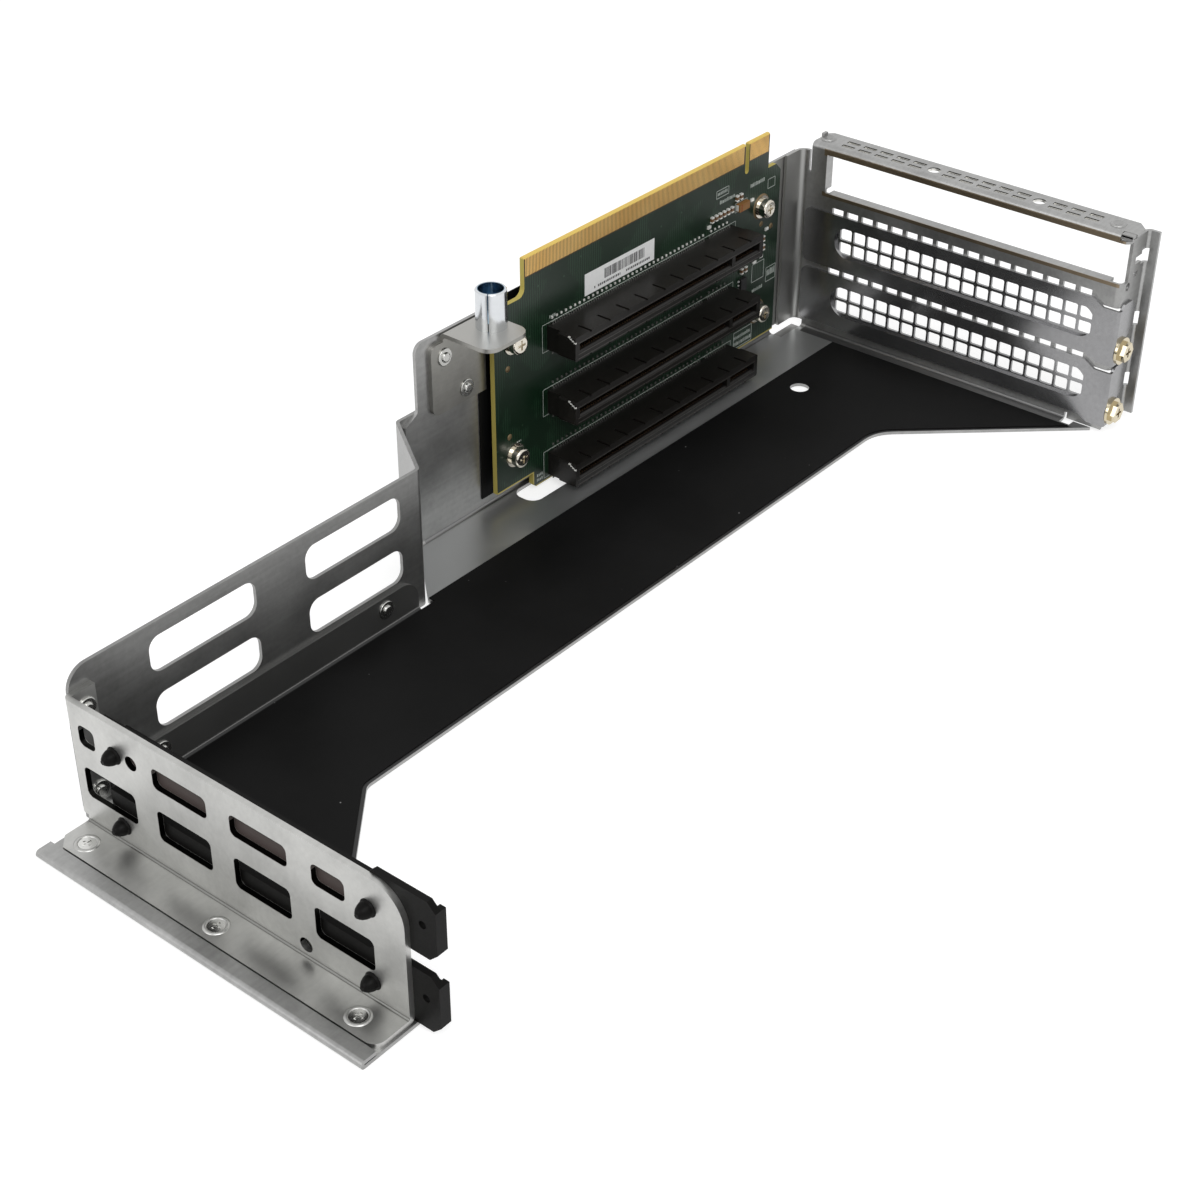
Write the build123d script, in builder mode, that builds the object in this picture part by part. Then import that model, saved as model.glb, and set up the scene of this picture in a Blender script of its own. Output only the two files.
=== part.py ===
from build123d import *
import os

# Riser cage of a rack server: a folded steel cage that carries a riser board with three card
# slots, two perforated slot covers on its rear panel and two card guides on its end wall.
# Millimetres. X runs from the end wall to the rear panel, Y from the open side to the board,
# Z up. The origin is on the underside of the floor, under the foot of the end wall, mid-width.

os.makedirs("parts", exist_ok=True)

# Sheet stock, folds and play
sheet = 1.0
bend = 1.0
end_sheet = 1.5
end_bend = 0.5
cover_sheet = 0.86
film_sheet = 0.25
gap = 0.3
play = 0.05

# Card slots: standard pitch, height of the lowest card above the base
slot_pitch = 20.32
slot_count = 3
first_card_z = 6.1

# Floor
panel_x = 315.0
end_width = 105.0
board_wall_y = 72.5
floor_back_x = -14.0
floor_side_overhang = 0.5
floor_foot_x = 9.0
front_edge_y = 9.9
front_left_x = 51.3
front_right_x = 270.8
front_left_foot_y = -24.0
front_left_radius = 4.0
front_right_radius = 12.0
tip_y = -38.8
tip_inset = 0.4
tip_relief = 3.5
panel_foot_end_y = -29.5
hem_width = 3.4
hem_gap = 0.3
tie_hole_x = 279.0
tie_hole_y = 43.4
tie_hole_radius = 3.0

# Lip that carries the side wall
lip_height = 10.8
lip_end_x = 114.0
lip_end_radius = 6.0

# Side wall and the jog that takes it out to the board wall
side_height = 41.9
side_corner_radius = 6.0
jog_start_x = 117.5
jog_end_x = 132.0
jog_tail = 17.0
jog_radius = 1.5
side_slot_length = 33.8
side_slot_height = 10.0
side_slot_radius = 3.4
side_slot_first_x = 42.4
side_slot_pitch_x = 50.5
side_slot_low_z = 17.0
side_slot_pitch_z = 16.0

# Board wall
flare_x = 133.5
flare_z = 42.0
board_wall_left_x = 138.5
board_wall_top_z = 62.3
board_wall_step = 1.3
board_wall_end_inset = 1.5
corner_relief_x = 11.5
corner_relief_y = 67.8
board_window_x = 174.0
board_window_length = 110.0
board_window_width = 8.6
board_window_radius = 3.5

# Rear panel
panel_top_z = 64.6
panel_end_y = -42.1
panel_lap_y = 71.3
panel_lap_bend = 2.3
panel_lap_length = 8.5
panel_lap_top_z = 61.5
lap_slit_width = 0.8
lap_slit_depth = 10.0
top_flange_depth = 10.0
top_flange_end_y = -43.2
top_flange_bend = 0.6
top_flange_chamfer = 3.0
end_flange_depth = 13.0
strip_width = 3.5

# Openings of the rear panel, measured from each card's plane
window_rise = 8.5
window_height = 12.7
window_left_y = 62.1
window_wrap = 2.0
window_lip = 2.6
window_lip_end_y = -37.3
perforation_count = 17
perforation_pitch = 5.47
perforation_first_y = 56.75
perforation_length = 4.1
perforation_height = 2.4
perforation_drop = 3.1
screw_rise = 0.6
screw_inset = 3.3
catch_rise = 7.9
catch_height = 4.4
catch_inset = 9.5
catch_step = 3.5
peep_rise = 3.4
peep_height = 1.5
peep_width = 2.4
peep_inset = 7.3

# Vent slots and pilot holes of the top flange
vent_first_y = 56.7
vent_pitch = 6.04
vent_count = 15
vent_length = 4.4
vent_width = 1.5
vent_row_pitch = 3.2
vent_inset = 4.9
pilot_steps = [5, 11]
pilot_radius = 2.0

# Slot covers
cover_height = 18.42
cover_drop = 1.7
cover_left_y = 68.6
cover_shoulder_y = -33.8
cover_neck_y = -37.4
cover_neck_drop = 2.3
cover_tab_length = 9.0
cover_tab_rise = 15.9
cover_tab_drop = 3.5
cover_tab_step = 2.8
cover_tab_step_rise = 7.0
cover_corner_radius = 2.5
field_rise = 8.2
field_depth = 1.0
field_columns = 18
field_rows = 2
field_pitch_y = 5.0
field_pitch_z = 4.7
field_hole_width = 4.3
field_hole_height = 3.9
field_hole_radius = 0.6
field_center_y = 10.75
field_length = 93.4
field_height = 10.4
field_wall = 0.7

# End wall bracket
end_height = 36.5
end_flange = 10.3
end_flange_gap = 3.0
end_flange_corner = 3.0
end_corner_radius = 9.0
end_tab_length = 8.3
end_tab_foot = 3.0
end_window_pitch = 24.7
end_window_width = 17.4
end_window_first_y = 48.2
end_low_window_z = 10.5
end_low_window_height = 8.6
end_high_window_z = 25.3
end_high_window_height = 5.8
end_window_radius = 1.5
end_high_window_widths = [5.4, 17.4, 17.4, 9.7]
spare_hole_radius = 1.9
spare_holes = [(30.5, 28.5), (-22.3, 5.8)]

# Card guides
guide_end_y = -60.0
guide_length = 101.5
guide_plate = 1.6
guide_drop = 4.7
guide_rise = 10.9
guide_step = 2.2
guide_step_y = -40.5
guide_corner = 2.2
guide_depth = 7.0
guide_rib = 1.5
guide_slot = 2.2
guide_rim = 1.6
guide_rim_depth = 3.1
guide_rail_inset = 4.0
guide_peep_radius = 1.0
guide_peep_y = -56.2
guide_peep_rise = 3.9
guide_pin_ys = [36.2, -42.3]
guide_pin_rise = 1.5
guide_pin_radius = 1.9
guide_barb_radii = [2.3, 1.5, 0.6]
guide_barb_lengths = [1.3, 2.0]

# Riser board
board_thickness = 1.57
board_standoff = 2.43
board_left_x = 165.0
board_right_x = 299.0
board_bottom_z = 5.7
board_foot_z = 0.8
board_foot_left_x = 180.5
board_foot_right_x = 278.0
board_shoulder_z = 63.0
board_top_z = 74.4
board_corner = 2.5
edge_left_x = 178.0
edge_right_x = 292.3
edge_bevel = 0.4
key_x = 280.9
key_width = 1.9
key_depth = 9.6
board_hole_xs = [172.5, 289.4]
board_hole_zs = [15.6, 51.3]

# Slot connectors
connector_x = 186.2
connector_length = 89.0
connector_depth = 11.25
connector_height = 7.4
connector_end_step = 1.0
connector_end_depth = 5.0
connector_end_chamfer = 0.4
card_slot_width = 1.9
card_slot_depth = 8.0
card_slot_end = 1.9
card_slot_lead = 0.5
connector_key_x = 74.0
connector_key_width = 1.7
notch_count = 10
notch_pitch = 8.4
notch_width = 0.8
notch_length = 4.6
notch_depth = 0.5

# Hold-down bracket and its guide sleeve
hold_sheet = 1.2
hold_left_x = 143.2
hold_right_gap = 0.4
hold_bottom_z = 39.0
hold_shoulder_z = 60.0
hold_corner = 2.5
hold_tab_left_x = 148.0
hold_tab_top_z = 62.6
hold_tab_front_y = 54.4
hold_tab_corner = 4.0
sleeve_x = 159.6
sleeve_y = 64.2
sleeve_radius = 4.35
sleeve_bore = 3.55
sleeve_step = 0.5
sleeve_height = 11.1
sleeve_seam = 0.3
sleeve_seam_angle = 210.0

# Fasteners
rivet_radius = 1.6
rivet_head_radius = 2.6
rivet_head = 0.45
rivet_dome_radius = 1.5
rivet_dome = 1.0
rivet_tail_radius = 2.3
rivet_tail = 0.55
lip_rivets = [(24.6, 7.0), (101.7, 7.0)]
tab_rivets = [(5.2, 31.4), (5.2, 7.4)]
hold_rivets = [(148.4, 55.5), (156.7, 42.9)]
board_screw_radius = 1.5
board_screw_head_radius = 2.9
board_screw_head = 2.2
washer_radius = 3.6
washer_thickness = 0.5
spring_washer_radius = 2.7
spring_washer_thickness = 0.9
standoff_radius = 3.0
standoff_shank_radius = 2.4
cover_screw_radius = 1.25
cover_screw_washer_radius = 4.2
cover_screw_washer = 0.8
cover_screw_hex = 3.1
cover_screw_head = 2.6
cover_screw_tail = 4.0
flange_screw_ys = [43.3, 0.0, -43.3]
flange_screw_x = -5.9
flange_screw_radius = 1.25
flange_screw_head_radius = 2.1
cross_length = 3.0
flange_cross_length = 2.4
cross_slimness = 4.3

# Film, backing sheet and small things on the board
film_inset = 1.0
film_left_x = 10.0
film_back_y = 52.7
film_step_x = 119.0
backing_sheet = 0.4
backing_overhang = 2.5
backing_top_z = 64.0
backing_bottom_z = 4.0
label_x = 203.8
label_rise = 6.4
label_length = 31.8
label_height = 6.7
label_sheet = 0.1
capacitor_size = (1.0, 0.8, 1.7)
high_capacitors = [(263.5 + 2 * step, 9.1) for step in range(6)] + [(276.0, 11.9), (278.0, 11.9)]
middle_capacitors = [(280.0, 6.6), (282.0, 6.6), (290.8, 13.8), (291.0, 10.8)]
tantalum_size = (5.0, 1.5, 2.4)
tantalum_x = 278.7
tantalum_rise = 8.6
chip_size = (3.0, 1.1, 4.2)
chip_offset = 5.4
chip_rise = 2.0

# Values worked out from the sizes above
side_y = end_width / 2
side_outer_y = side_y + sheet
lip_y = side_y - sheet
flat_end_y = lip_y - bend
wall_outer_y = board_wall_y + sheet
panel_outer_x = panel_x + sheet
fold_relief = 2 * sheet + bend
card_z = [first_card_z + slot_pitch * step for step in range(slot_count)]
window_z = [z + window_rise for z in card_z]
screw_z = [z + screw_rise for z in card_z]
screw_x = panel_x + screw_inset
tip_x = panel_x - tip_inset
tray_end_x = panel_x - fold_relief
front_right_slope = (tip_y - front_edge_y) / (tip_x - front_right_x)
tray_end_y = front_edge_y + front_right_slope * (tray_end_x - front_right_x)
strip_x = panel_x + end_flange_depth - sheet
top_relief_z = panel_top_z - sheet - 2 * top_flange_bend
end_fold_y = panel_end_y + fold_relief
board_back_y = board_wall_y - board_standoff
board_front_y = board_back_y - board_thickness
board_hole_radius = board_screw_radius + 4 * play
cover_x = panel_x - cover_sheet
cover_tab_y = panel_end_y - cover_sheet
hold_right_x = board_left_x - hold_right_gap
hold_face_y = board_wall_y - hold_sheet
hold_tab_foot_z = hold_tab_top_z - hold_sheet
end_flange_top = sheet + end_sheet
end_foot_y = side_y - end_flange_gap
standoff_places = [(x, z) for x in board_hole_xs for z in board_hole_zs]
side_start_x = end_sheet + end_bend
label_z = card_z[2] + label_rise
capacitor_places = [(x, card_z[2] + rise) for x, rise in high_capacitors]
capacitor_places += [(x, card_z[1] + rise) for x, rise in middle_capacitors]
tantalum_places = [(tantalum_x, card_z[2] + tantalum_rise)]
chip_places = [(connector_x + connector_length + chip_offset, card_z[1] + chip_rise)]


def xz_plane(y):
    """A plane across Y, drawn in X and Z, that extrudes towards the open side."""
    return Plane.XZ.offset(-y)


def edges_at(part, along, x=None, y=None, z=None):
    """Edges parallel to an axis that lie at the given coordinates."""
    found = part.edges().filter_by(along)
    for axis, value in ((Axis.X, x), (Axis.Y, y), (Axis.Z, z)):
        if value is not None:
            found = found.filter_by_position(axis, value - 0.01, value + 0.01)
    return found


def box_between(low, high, mode=Mode.ADD):
    """A box given by its lowest and highest corners, for use inside a part."""
    size = [high[axis] - low[axis] for axis in range(3)]
    with Locations(tuple(low)):
        Box(*size, align=(Align.MIN, Align.MIN, Align.MIN), mode=mode)


def rectangle_between(low, high):
    """A rectangle given by two corners, for use inside a sketch."""
    with Locations(tuple(low)):
        Rectangle(high[0] - low[0], high[1] - low[1], align=(Align.MIN, Align.MIN))


def nearest(sketch, first, second):
    """The vertex of an unfinished sketch nearest to a point of its own plane."""
    return sketch.vertices().sort_by_distance((first, second, 0))[0]


def save(builder, name):
    """Label a finished piece and write its STEP file."""
    builder.part.label = name
    export_step(builder.part, f"parts/{name}.step")


# Outline of the tray under the cards, shared by the floor and its film
with BuildSketch(Plane.XY) as tray_outline:
    with BuildLine():
        Polyline(
            (floor_foot_x, flat_end_y),
            (floor_foot_x, front_left_foot_y),
            (front_left_x, front_edge_y),
            (front_right_x, front_edge_y),
            (tray_end_x, tray_end_y),
            (tray_end_x, flat_end_y),
            close=True,
        )
    make_face()
    fillet(nearest(tray_outline, front_left_x, front_edge_y), front_left_radius)
    fillet(nearest(tray_outline, front_right_x, front_edge_y), front_right_radius)

# Cage frame: floor, lip, board wall and rear panel folded from one sheet
with BuildPart() as cage_frame:
    with BuildSketch(Plane.XY):
        add(tray_outline.sketch)
        with BuildLine():
            Polyline(
                (tray_end_x, tray_end_y),
                (tip_x, tip_y),
                (tip_x, panel_foot_end_y - tip_relief),
                (tray_end_x, panel_foot_end_y - tip_relief),
                close=True,
            )
        make_face()
        rectangle_between((floor_back_x, -side_y - floor_side_overhang), (floor_foot_x, flat_end_y))
        rectangle_between((floor_foot_x, flat_end_y - sheet), (lip_end_x, side_y))
        with BuildLine():
            Polyline(
                (lip_end_x, flat_end_y),
                (jog_start_x, flat_end_y),
                (jog_start_x + bend, side_y),
                (flare_x + sheet, wall_outer_y - fold_relief),
                (flare_x + sheet, wall_outer_y),
                (panel_x - corner_relief_x, wall_outer_y),
                (panel_x - corner_relief_x, corner_relief_y),
                (panel_outer_x, corner_relief_y),
                (panel_outer_x, panel_foot_end_y),
                (tray_end_x, panel_foot_end_y),
                (tray_end_x, flat_end_y - sheet),
                (lip_end_x, flat_end_y - sheet),
                close=True,
            )
        make_face()
    extrude(amount=sheet)

    # Hem that stiffens the end of the floor
    with BuildSketch(xz_plane(flat_end_y)):
        with BuildLine() as hem_path:
            hem_rise = sheet + hem_gap
            low_line = Line((floor_back_x + hem_width, sheet / 2), (floor_back_x, sheet / 2))
            roll = ThreePointArc(
                low_line @ 1,
                (floor_back_x - hem_rise / 2, (sheet + hem_rise) / 2),
                (floor_back_x, sheet / 2 + hem_rise),
            )
            Line(roll @ 1, (floor_back_x + hem_width, sheet / 2 + hem_rise))
        trace(hem_path.edges(), line_width=sheet)
    extrude(amount=flat_end_y + side_y + floor_side_overhang)

    # Lip along the side wall
    with BuildSketch(xz_plane(side_y)) as lip_outline:
        rectangle_between((floor_foot_x, 0), (lip_end_x, lip_height))
        fillet(nearest(lip_outline, lip_end_x, lip_height), lip_end_radius)
    extrude(amount=sheet)

    # Board wall
    with BuildSketch(xz_plane(wall_outer_y)) as wall_outline:
        with BuildLine():
            Polyline(
                (flare_x + sheet, 0),
                (panel_x - corner_relief_x, 0),
                (panel_x - corner_relief_x, fold_relief),
                (panel_x - board_wall_end_inset, fold_relief),
                (panel_x - board_wall_end_inset, board_wall_top_z - board_wall_step),
                (board_left_x + 2 * board_wall_step, board_wall_top_z - board_wall_step),
                (board_left_x + board_wall_step, board_wall_top_z),
                (board_wall_left_x, board_wall_top_z),
                (board_wall_left_x, flare_z),
                (flare_x, flare_z - (board_wall_left_x - flare_x) / 2),
                (flare_x, fold_relief),
                (flare_x + sheet, fold_relief),
                close=True,
            )
        make_face()
        fillet(nearest(wall_outline, board_wall_left_x, board_wall_top_z), 3 * bend)
        fillet(nearest(wall_outline, board_wall_left_x, flare_z), 2 * bend)
    extrude(amount=sheet)

    # Rear panel
    with BuildSketch(Plane.YZ.offset(panel_x)):
        with BuildLine():
            Polyline(
                (corner_relief_y, 0),
                (corner_relief_y, fold_relief),
                (panel_lap_y + sheet, fold_relief),
                (panel_lap_y + sheet, panel_lap_top_z),
                (corner_relief_y + lap_slit_width, panel_lap_top_z),
                (corner_relief_y + lap_slit_width, panel_top_z - lap_slit_depth),
                (corner_relief_y, panel_top_z - lap_slit_depth),
                (corner_relief_y, panel_top_z),
                (end_fold_y, panel_top_z),
                (end_fold_y, top_relief_z),
                (panel_end_y, top_relief_z),
                (panel_end_y, fold_relief),
                (panel_foot_end_y, fold_relief),
                (panel_foot_end_y, 0),
                close=True,
            )
        make_face()
    extrude(amount=sheet)

    # Flange that laps the board wall
    box_between(
        (panel_x - panel_lap_length, panel_lap_y, fold_relief),
        (panel_outer_x, panel_lap_y + sheet, panel_lap_top_z),
    )

    # Top flange
    with BuildSketch(Plane.XY.offset(panel_top_z - sheet)):
        top_edge_x = panel_x + top_flange_depth
        with BuildLine():
            Polyline(
                (panel_x, corner_relief_y),
                (top_edge_x - top_flange_chamfer / 2, corner_relief_y),
                (top_edge_x, corner_relief_y - top_flange_chamfer / 2),
                (top_edge_x, top_flange_end_y + top_flange_chamfer),
                (top_edge_x - top_flange_chamfer, top_flange_end_y),
                (panel_outer_x + 2 * top_flange_bend, top_flange_end_y),
                (panel_outer_x + 2 * top_flange_bend, end_fold_y),
                (panel_x, end_fold_y),
                close=True,
            )
        make_face()
    extrude(amount=sheet)

    # End flange that takes the cover screws, and the strip along its free edge
    box_between(
        (panel_x, panel_end_y, fold_relief),
        (strip_x + sheet, panel_end_y + sheet, top_relief_z),
    )
    box_between(
        (strip_x, panel_end_y - strip_width, fold_relief),
        (strip_x + sheet, panel_end_y + sheet, top_relief_z),
    )

    # Folds: the inside radius first, then the outside radius of each
    fillet(edges_at(cage_frame.part, Axis.X, y=board_wall_y, z=sheet), bend)
    fillet(edges_at(cage_frame.part, Axis.X, y=wall_outer_y, z=0), bend + sheet)
    fillet(edges_at(cage_frame.part, Axis.X, y=lip_y, z=sheet), bend)
    fillet(edges_at(cage_frame.part, Axis.X, y=side_y, z=0), bend + sheet)
    fillet(edges_at(cage_frame.part, Axis.Y, x=panel_x, z=sheet), bend)
    fillet(edges_at(cage_frame.part, Axis.Y, x=panel_outer_x, z=0), bend + sheet)
    lap_corner = panel_lap_y + sheet
    fillet(edges_at(cage_frame.part, Axis.Z, x=panel_x, y=panel_lap_y), panel_lap_bend)
    fillet(edges_at(cage_frame.part, Axis.Z, x=panel_outer_x, y=lap_corner), panel_lap_bend + sheet)
    strip_corner = strip_x + sheet
    fillet(edges_at(cage_frame.part, Axis.Z, x=strip_x, y=panel_end_y), bend)
    fillet(edges_at(cage_frame.part, Axis.Z, x=strip_corner, y=panel_end_y + sheet), bend + sheet)
    fillet(edges_at(cage_frame.part, Axis.Z, x=panel_outer_x, y=panel_end_y + sheet), bend)
    fillet(edges_at(cage_frame.part, Axis.Z, x=panel_x, y=panel_end_y), bend + sheet)
    flange_foot_z = panel_top_z - sheet
    fillet(edges_at(cage_frame.part, Axis.Y, x=panel_outer_x, z=flange_foot_z), top_flange_bend)
    fillet(edges_at(cage_frame.part, Axis.Y, x=panel_x, z=panel_top_z), top_flange_bend + sheet)

    # Slot windows, which run round the corner into the end flange, and their turned-out lips
    for z in window_z:
        low_z = z - window_height / 2
        high_z = z + window_height / 2
        box_between(
            (panel_x - sheet, panel_end_y - sheet, low_z),
            (panel_outer_x + window_wrap, window_left_y, high_z),
            mode=Mode.SUBTRACT,
        )
        box_between(
            (panel_x, window_lip_end_y, low_z - sheet),
            (panel_outer_x + window_lip, window_left_y - sheet, low_z),
        )
        box_between(
            (panel_x, window_left_y, low_z + sheet),
            (panel_outer_x + window_lip, window_left_y + sheet, high_z - sheet),
        )

    # Row of vents in each bar between two windows
    vent_ys = [perforation_first_y - perforation_pitch * step for step in range(perforation_count)]
    with Locations(*[(panel_x, y, z - perforation_drop) for y in vent_ys for z in card_z[1:]]):
        Box(3 * sheet, perforation_length, perforation_height, mode=Mode.SUBTRACT)

    # Screw holes, catch windows and peep holes of the end flange
    with BuildSketch(xz_plane(panel_end_y + 2 * sheet)):
        with Locations(*[(screw_x, z) for z in screw_z]):
            Circle(cover_screw_radius)
        with Locations(*[(panel_x + peep_inset, z + peep_rise) for z in card_z]):
            Rectangle(peep_width, peep_height)
        with Locations(*[(panel_x + catch_inset, z + catch_rise) for z in card_z]):
            Rectangle(end_flange_depth, catch_height, align=(Align.MIN, Align.CENTER))
            Rectangle(catch_step, catch_height / 2, align=(Align.MAX, Align.CENTER))
    extrude(amount=2 * sheet + bend, mode=Mode.SUBTRACT)

    # Vent slots and pilot holes of the top flange
    with BuildSketch(Plane.XY.offset(panel_top_z)):
        for step in range(vent_count):
            with Locations((panel_x + vent_inset, vent_first_y - vent_pitch * step)):
                if step in pilot_steps:
                    Circle(pilot_radius)
                else:
                    with GridLocations(vent_row_pitch, vent_length, 2, 1):
                        Rectangle(vent_width, vent_length)
    extrude(amount=-2 * sheet, mode=Mode.SUBTRACT)

    # Holes in the floor: tie hole, foot of the riser board, flange screws
    board_window_y = board_wall_y - bend - gap - board_window_width
    with BuildSketch(Plane.XY):
        with Locations((tie_hole_x, tie_hole_y)):
            Circle(tie_hole_radius)
        with Locations((board_window_x, board_window_y)):
            RectangleRounded(
                board_window_length,
                board_window_width,
                board_window_radius,
                align=(Align.MIN, Align.MIN),
            )
        with Locations(*[(flange_screw_x, y) for y in flange_screw_ys]):
            Circle(flange_screw_radius + play)
    extrude(amount=sheet, mode=Mode.SUBTRACT)

    # Rivet holes of the lip, standoff and rivet holes of the board wall
    with BuildSketch(xz_plane(side_y)):
        with Locations(*lip_rivets):
            Circle(rivet_radius + play)
    extrude(amount=sheet, mode=Mode.SUBTRACT)
    with BuildSketch(xz_plane(wall_outer_y)):
        with Locations(*standoff_places):
            Circle(standoff_shank_radius + play)
        with Locations(*hold_rivets):
            Circle(rivet_radius + play)
    extrude(amount=sheet, mode=Mode.SUBTRACT)
save(cage_frame, "cage_frame")

# Side wall: a flat sheet that jogs outwards and laps the back of the board wall
with BuildPart() as side_wall:
    with BuildSketch(Plane.XY):
        with BuildLine() as side_path:
            FilletPolyline(
                (side_start_x, side_y + sheet / 2),
                (jog_start_x, side_y + sheet / 2),
                (jog_end_x, wall_outer_y + sheet / 2),
                (jog_end_x + jog_tail, wall_outer_y + sheet / 2),
                radius=jog_radius,
            )
        trace(side_path.edges(), line_width=sheet)
    extrude(amount=side_height)
    fillet(edges_at(side_wall.part, Axis.Y, x=side_start_x, z=side_height), side_corner_radius)
    with BuildSketch(xz_plane(side_outer_y)):
        slot_x = side_slot_first_x + side_slot_pitch_x / 2
        slot_z = side_slot_low_z + side_slot_pitch_z / 2
        with Locations((slot_x, slot_z)):
            with GridLocations(side_slot_pitch_x, side_slot_pitch_z, 2, 2):
                RectangleRounded(side_slot_length, side_slot_height, side_slot_radius)
        with Locations(*(lip_rivets + tab_rivets)):
            Circle(rivet_radius + play)
    extrude(amount=sheet, mode=Mode.SUBTRACT)
save(side_wall, "side_wall")

# End bracket: end wall, outward flange on the floor and inward tab along the side wall
with BuildPart() as end_bracket:
    with BuildSketch(Plane.YZ) as end_outline:
        with BuildLine():
            Polyline(
                (end_foot_y, sheet),
                (end_foot_y, sheet + end_tab_foot),
                (side_y, sheet + end_tab_foot),
                (side_y, end_height),
                (-side_y, end_height),
                (-side_y, sheet),
                close=True,
            )
        make_face()
        fillet(nearest(end_outline, -side_y, end_height), end_corner_radius)
    extrude(amount=end_sheet)
    with BuildSketch(Plane.XY.offset(sheet)) as flange_outline:
        rectangle_between((-end_flange, -side_y), (end_sheet, end_foot_y))
        fillet(nearest(flange_outline, -end_flange, -side_y), end_flange_corner)
        chamfer(nearest(flange_outline, -end_flange, end_foot_y), end_flange_corner)
    extrude(amount=end_sheet)
    box_between(
        (0, side_y - end_sheet, sheet + end_tab_foot),
        (end_tab_length, side_y, end_height),
    )
    fillet(edges_at(end_bracket.part, Axis.Y, x=0, z=end_flange_top), end_bend)
    fillet(edges_at(end_bracket.part, Axis.Y, x=end_sheet, z=sheet), end_bend + end_sheet)
    fillet(edges_at(end_bracket.part, Axis.Z, x=end_sheet, y=side_y - end_sheet), end_bend)
    fillet(edges_at(end_bracket.part, Axis.Z, x=0, y=side_y), end_bend + end_sheet)

    # Windows in two rows, spare holes and holes for the guides' pins
    with BuildSketch(Plane.YZ):
        for step, high_width in enumerate(end_high_window_widths):
            window_y = end_window_first_y - end_window_pitch * step
            with Locations((window_y, end_low_window_z)):
                RectangleRounded(
                    end_window_width,
                    end_low_window_height,
                    end_window_radius,
                    align=(Align.MAX, Align.MIN),
                )
            with Locations((window_y, end_high_window_z)):
                RectangleRounded(
                    high_width,
                    end_high_window_height,
                    end_window_radius,
                    align=(Align.MAX, Align.MIN),
                )
        with Locations(*spare_holes):
            Circle(spare_hole_radius)
        with Locations(*[(y, z + guide_pin_rise) for y in guide_pin_ys for z in card_z[:2]]):
            Circle(guide_pin_radius + play)
    extrude(amount=end_sheet, mode=Mode.SUBTRACT)
    with BuildSketch(xz_plane(side_y)):
        with Locations(*tab_rivets):
            Circle(rivet_radius + play)
    extrude(amount=end_sheet, mode=Mode.SUBTRACT)
    with Locations(*[(flange_screw_x, y, end_flange_top) for y in flange_screw_ys]):
        CounterSinkHole(flange_screw_radius + play, flange_screw_head_radius + play, end_sheet)
save(end_bracket, "end_bracket")


def make_card_guide(name, plane_z):
    """A moulded guide whose channel holds a card's end at plane_z, on two barbed pins."""
    low_z = plane_z - guide_drop
    high_z = plane_z + guide_rise
    far_y = guide_end_y + guide_length
    with BuildPart() as guide:
        with BuildSketch(Plane.YZ.offset(end_sheet)) as plate_outline:
            with BuildLine():
                Polyline(
                    (guide_end_y, low_z),
                    (far_y, low_z),
                    (far_y, high_z - guide_step),
                    (guide_step_y, high_z - guide_step),
                    (guide_step_y - guide_step, high_z),
                    (guide_end_y, high_z),
                    close=True,
                )
            make_face()
            chamfer(nearest(plate_outline, guide_end_y, high_z), guide_corner)
            chamfer(nearest(plate_outline, guide_end_y, low_z), guide_corner)
        extrude(amount=guide_plate)

        # Rim at the open end, standing proud of the plate
        box_between(
            (end_sheet, guide_end_y, low_z + guide_corner),
            (end_sheet + guide_rim_depth, guide_end_y + guide_rim, high_z - guide_corner),
        )

        # The two rails of the channel and its end stop
        low_rail_z = plane_z - guide_slot / 2
        high_rail_z = plane_z + guide_slot / 2
        rail_x = end_sheet + guide_depth
        rail_y = guide_end_y + guide_rail_inset
        box_between((end_sheet, rail_y, low_rail_z - guide_rib), (rail_x, far_y, low_rail_z))
        box_between((end_sheet, rail_y, high_rail_z), (rail_x, far_y, high_rail_z + guide_rib))
        for z in (low_rail_z, high_rail_z):
            chamfer(edges_at(guide.part, Axis.Y, x=rail_x, z=z), guide_rib / 3)
        box_between(
            (end_sheet, far_y - guide_rib, low_rail_z - guide_rib),
            (rail_x, far_y, high_rail_z + guide_rib),
        )
        with BuildSketch(Plane.YZ.offset(end_sheet + guide_plate)):
            with Locations((guide_peep_y, plane_z + guide_peep_rise)):
                Circle(guide_peep_radius)
        extrude(amount=-guide_plate, mode=Mode.SUBTRACT)

        # Barbed pins through the end wall, each barb in two tapers
        outward = (0, -90, 0)
        pin_ends = (Align.CENTER, Align.CENTER, Align.MIN)
        tapers = list(zip(guide_barb_radii, guide_barb_radii[1:], guide_barb_lengths))
        for y in guide_pin_ys:
            with Locations((end_sheet, y, plane_z + guide_pin_rise)):
                Cylinder(guide_pin_radius, end_sheet + gap, rotation=outward, align=pin_ends)
            barb_x = -play
            for wide, narrow, length in tapers:
                with Locations((barb_x, y, plane_z + guide_pin_rise)):
                    Cone(wide, narrow, length, rotation=outward, align=pin_ends)
                barb_x -= length
    save(guide, name)


for guide_name, guide_card_z in zip(("lower_card_guide", "upper_card_guide"), card_z):
    make_card_guide(guide_name, guide_card_z)

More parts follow.
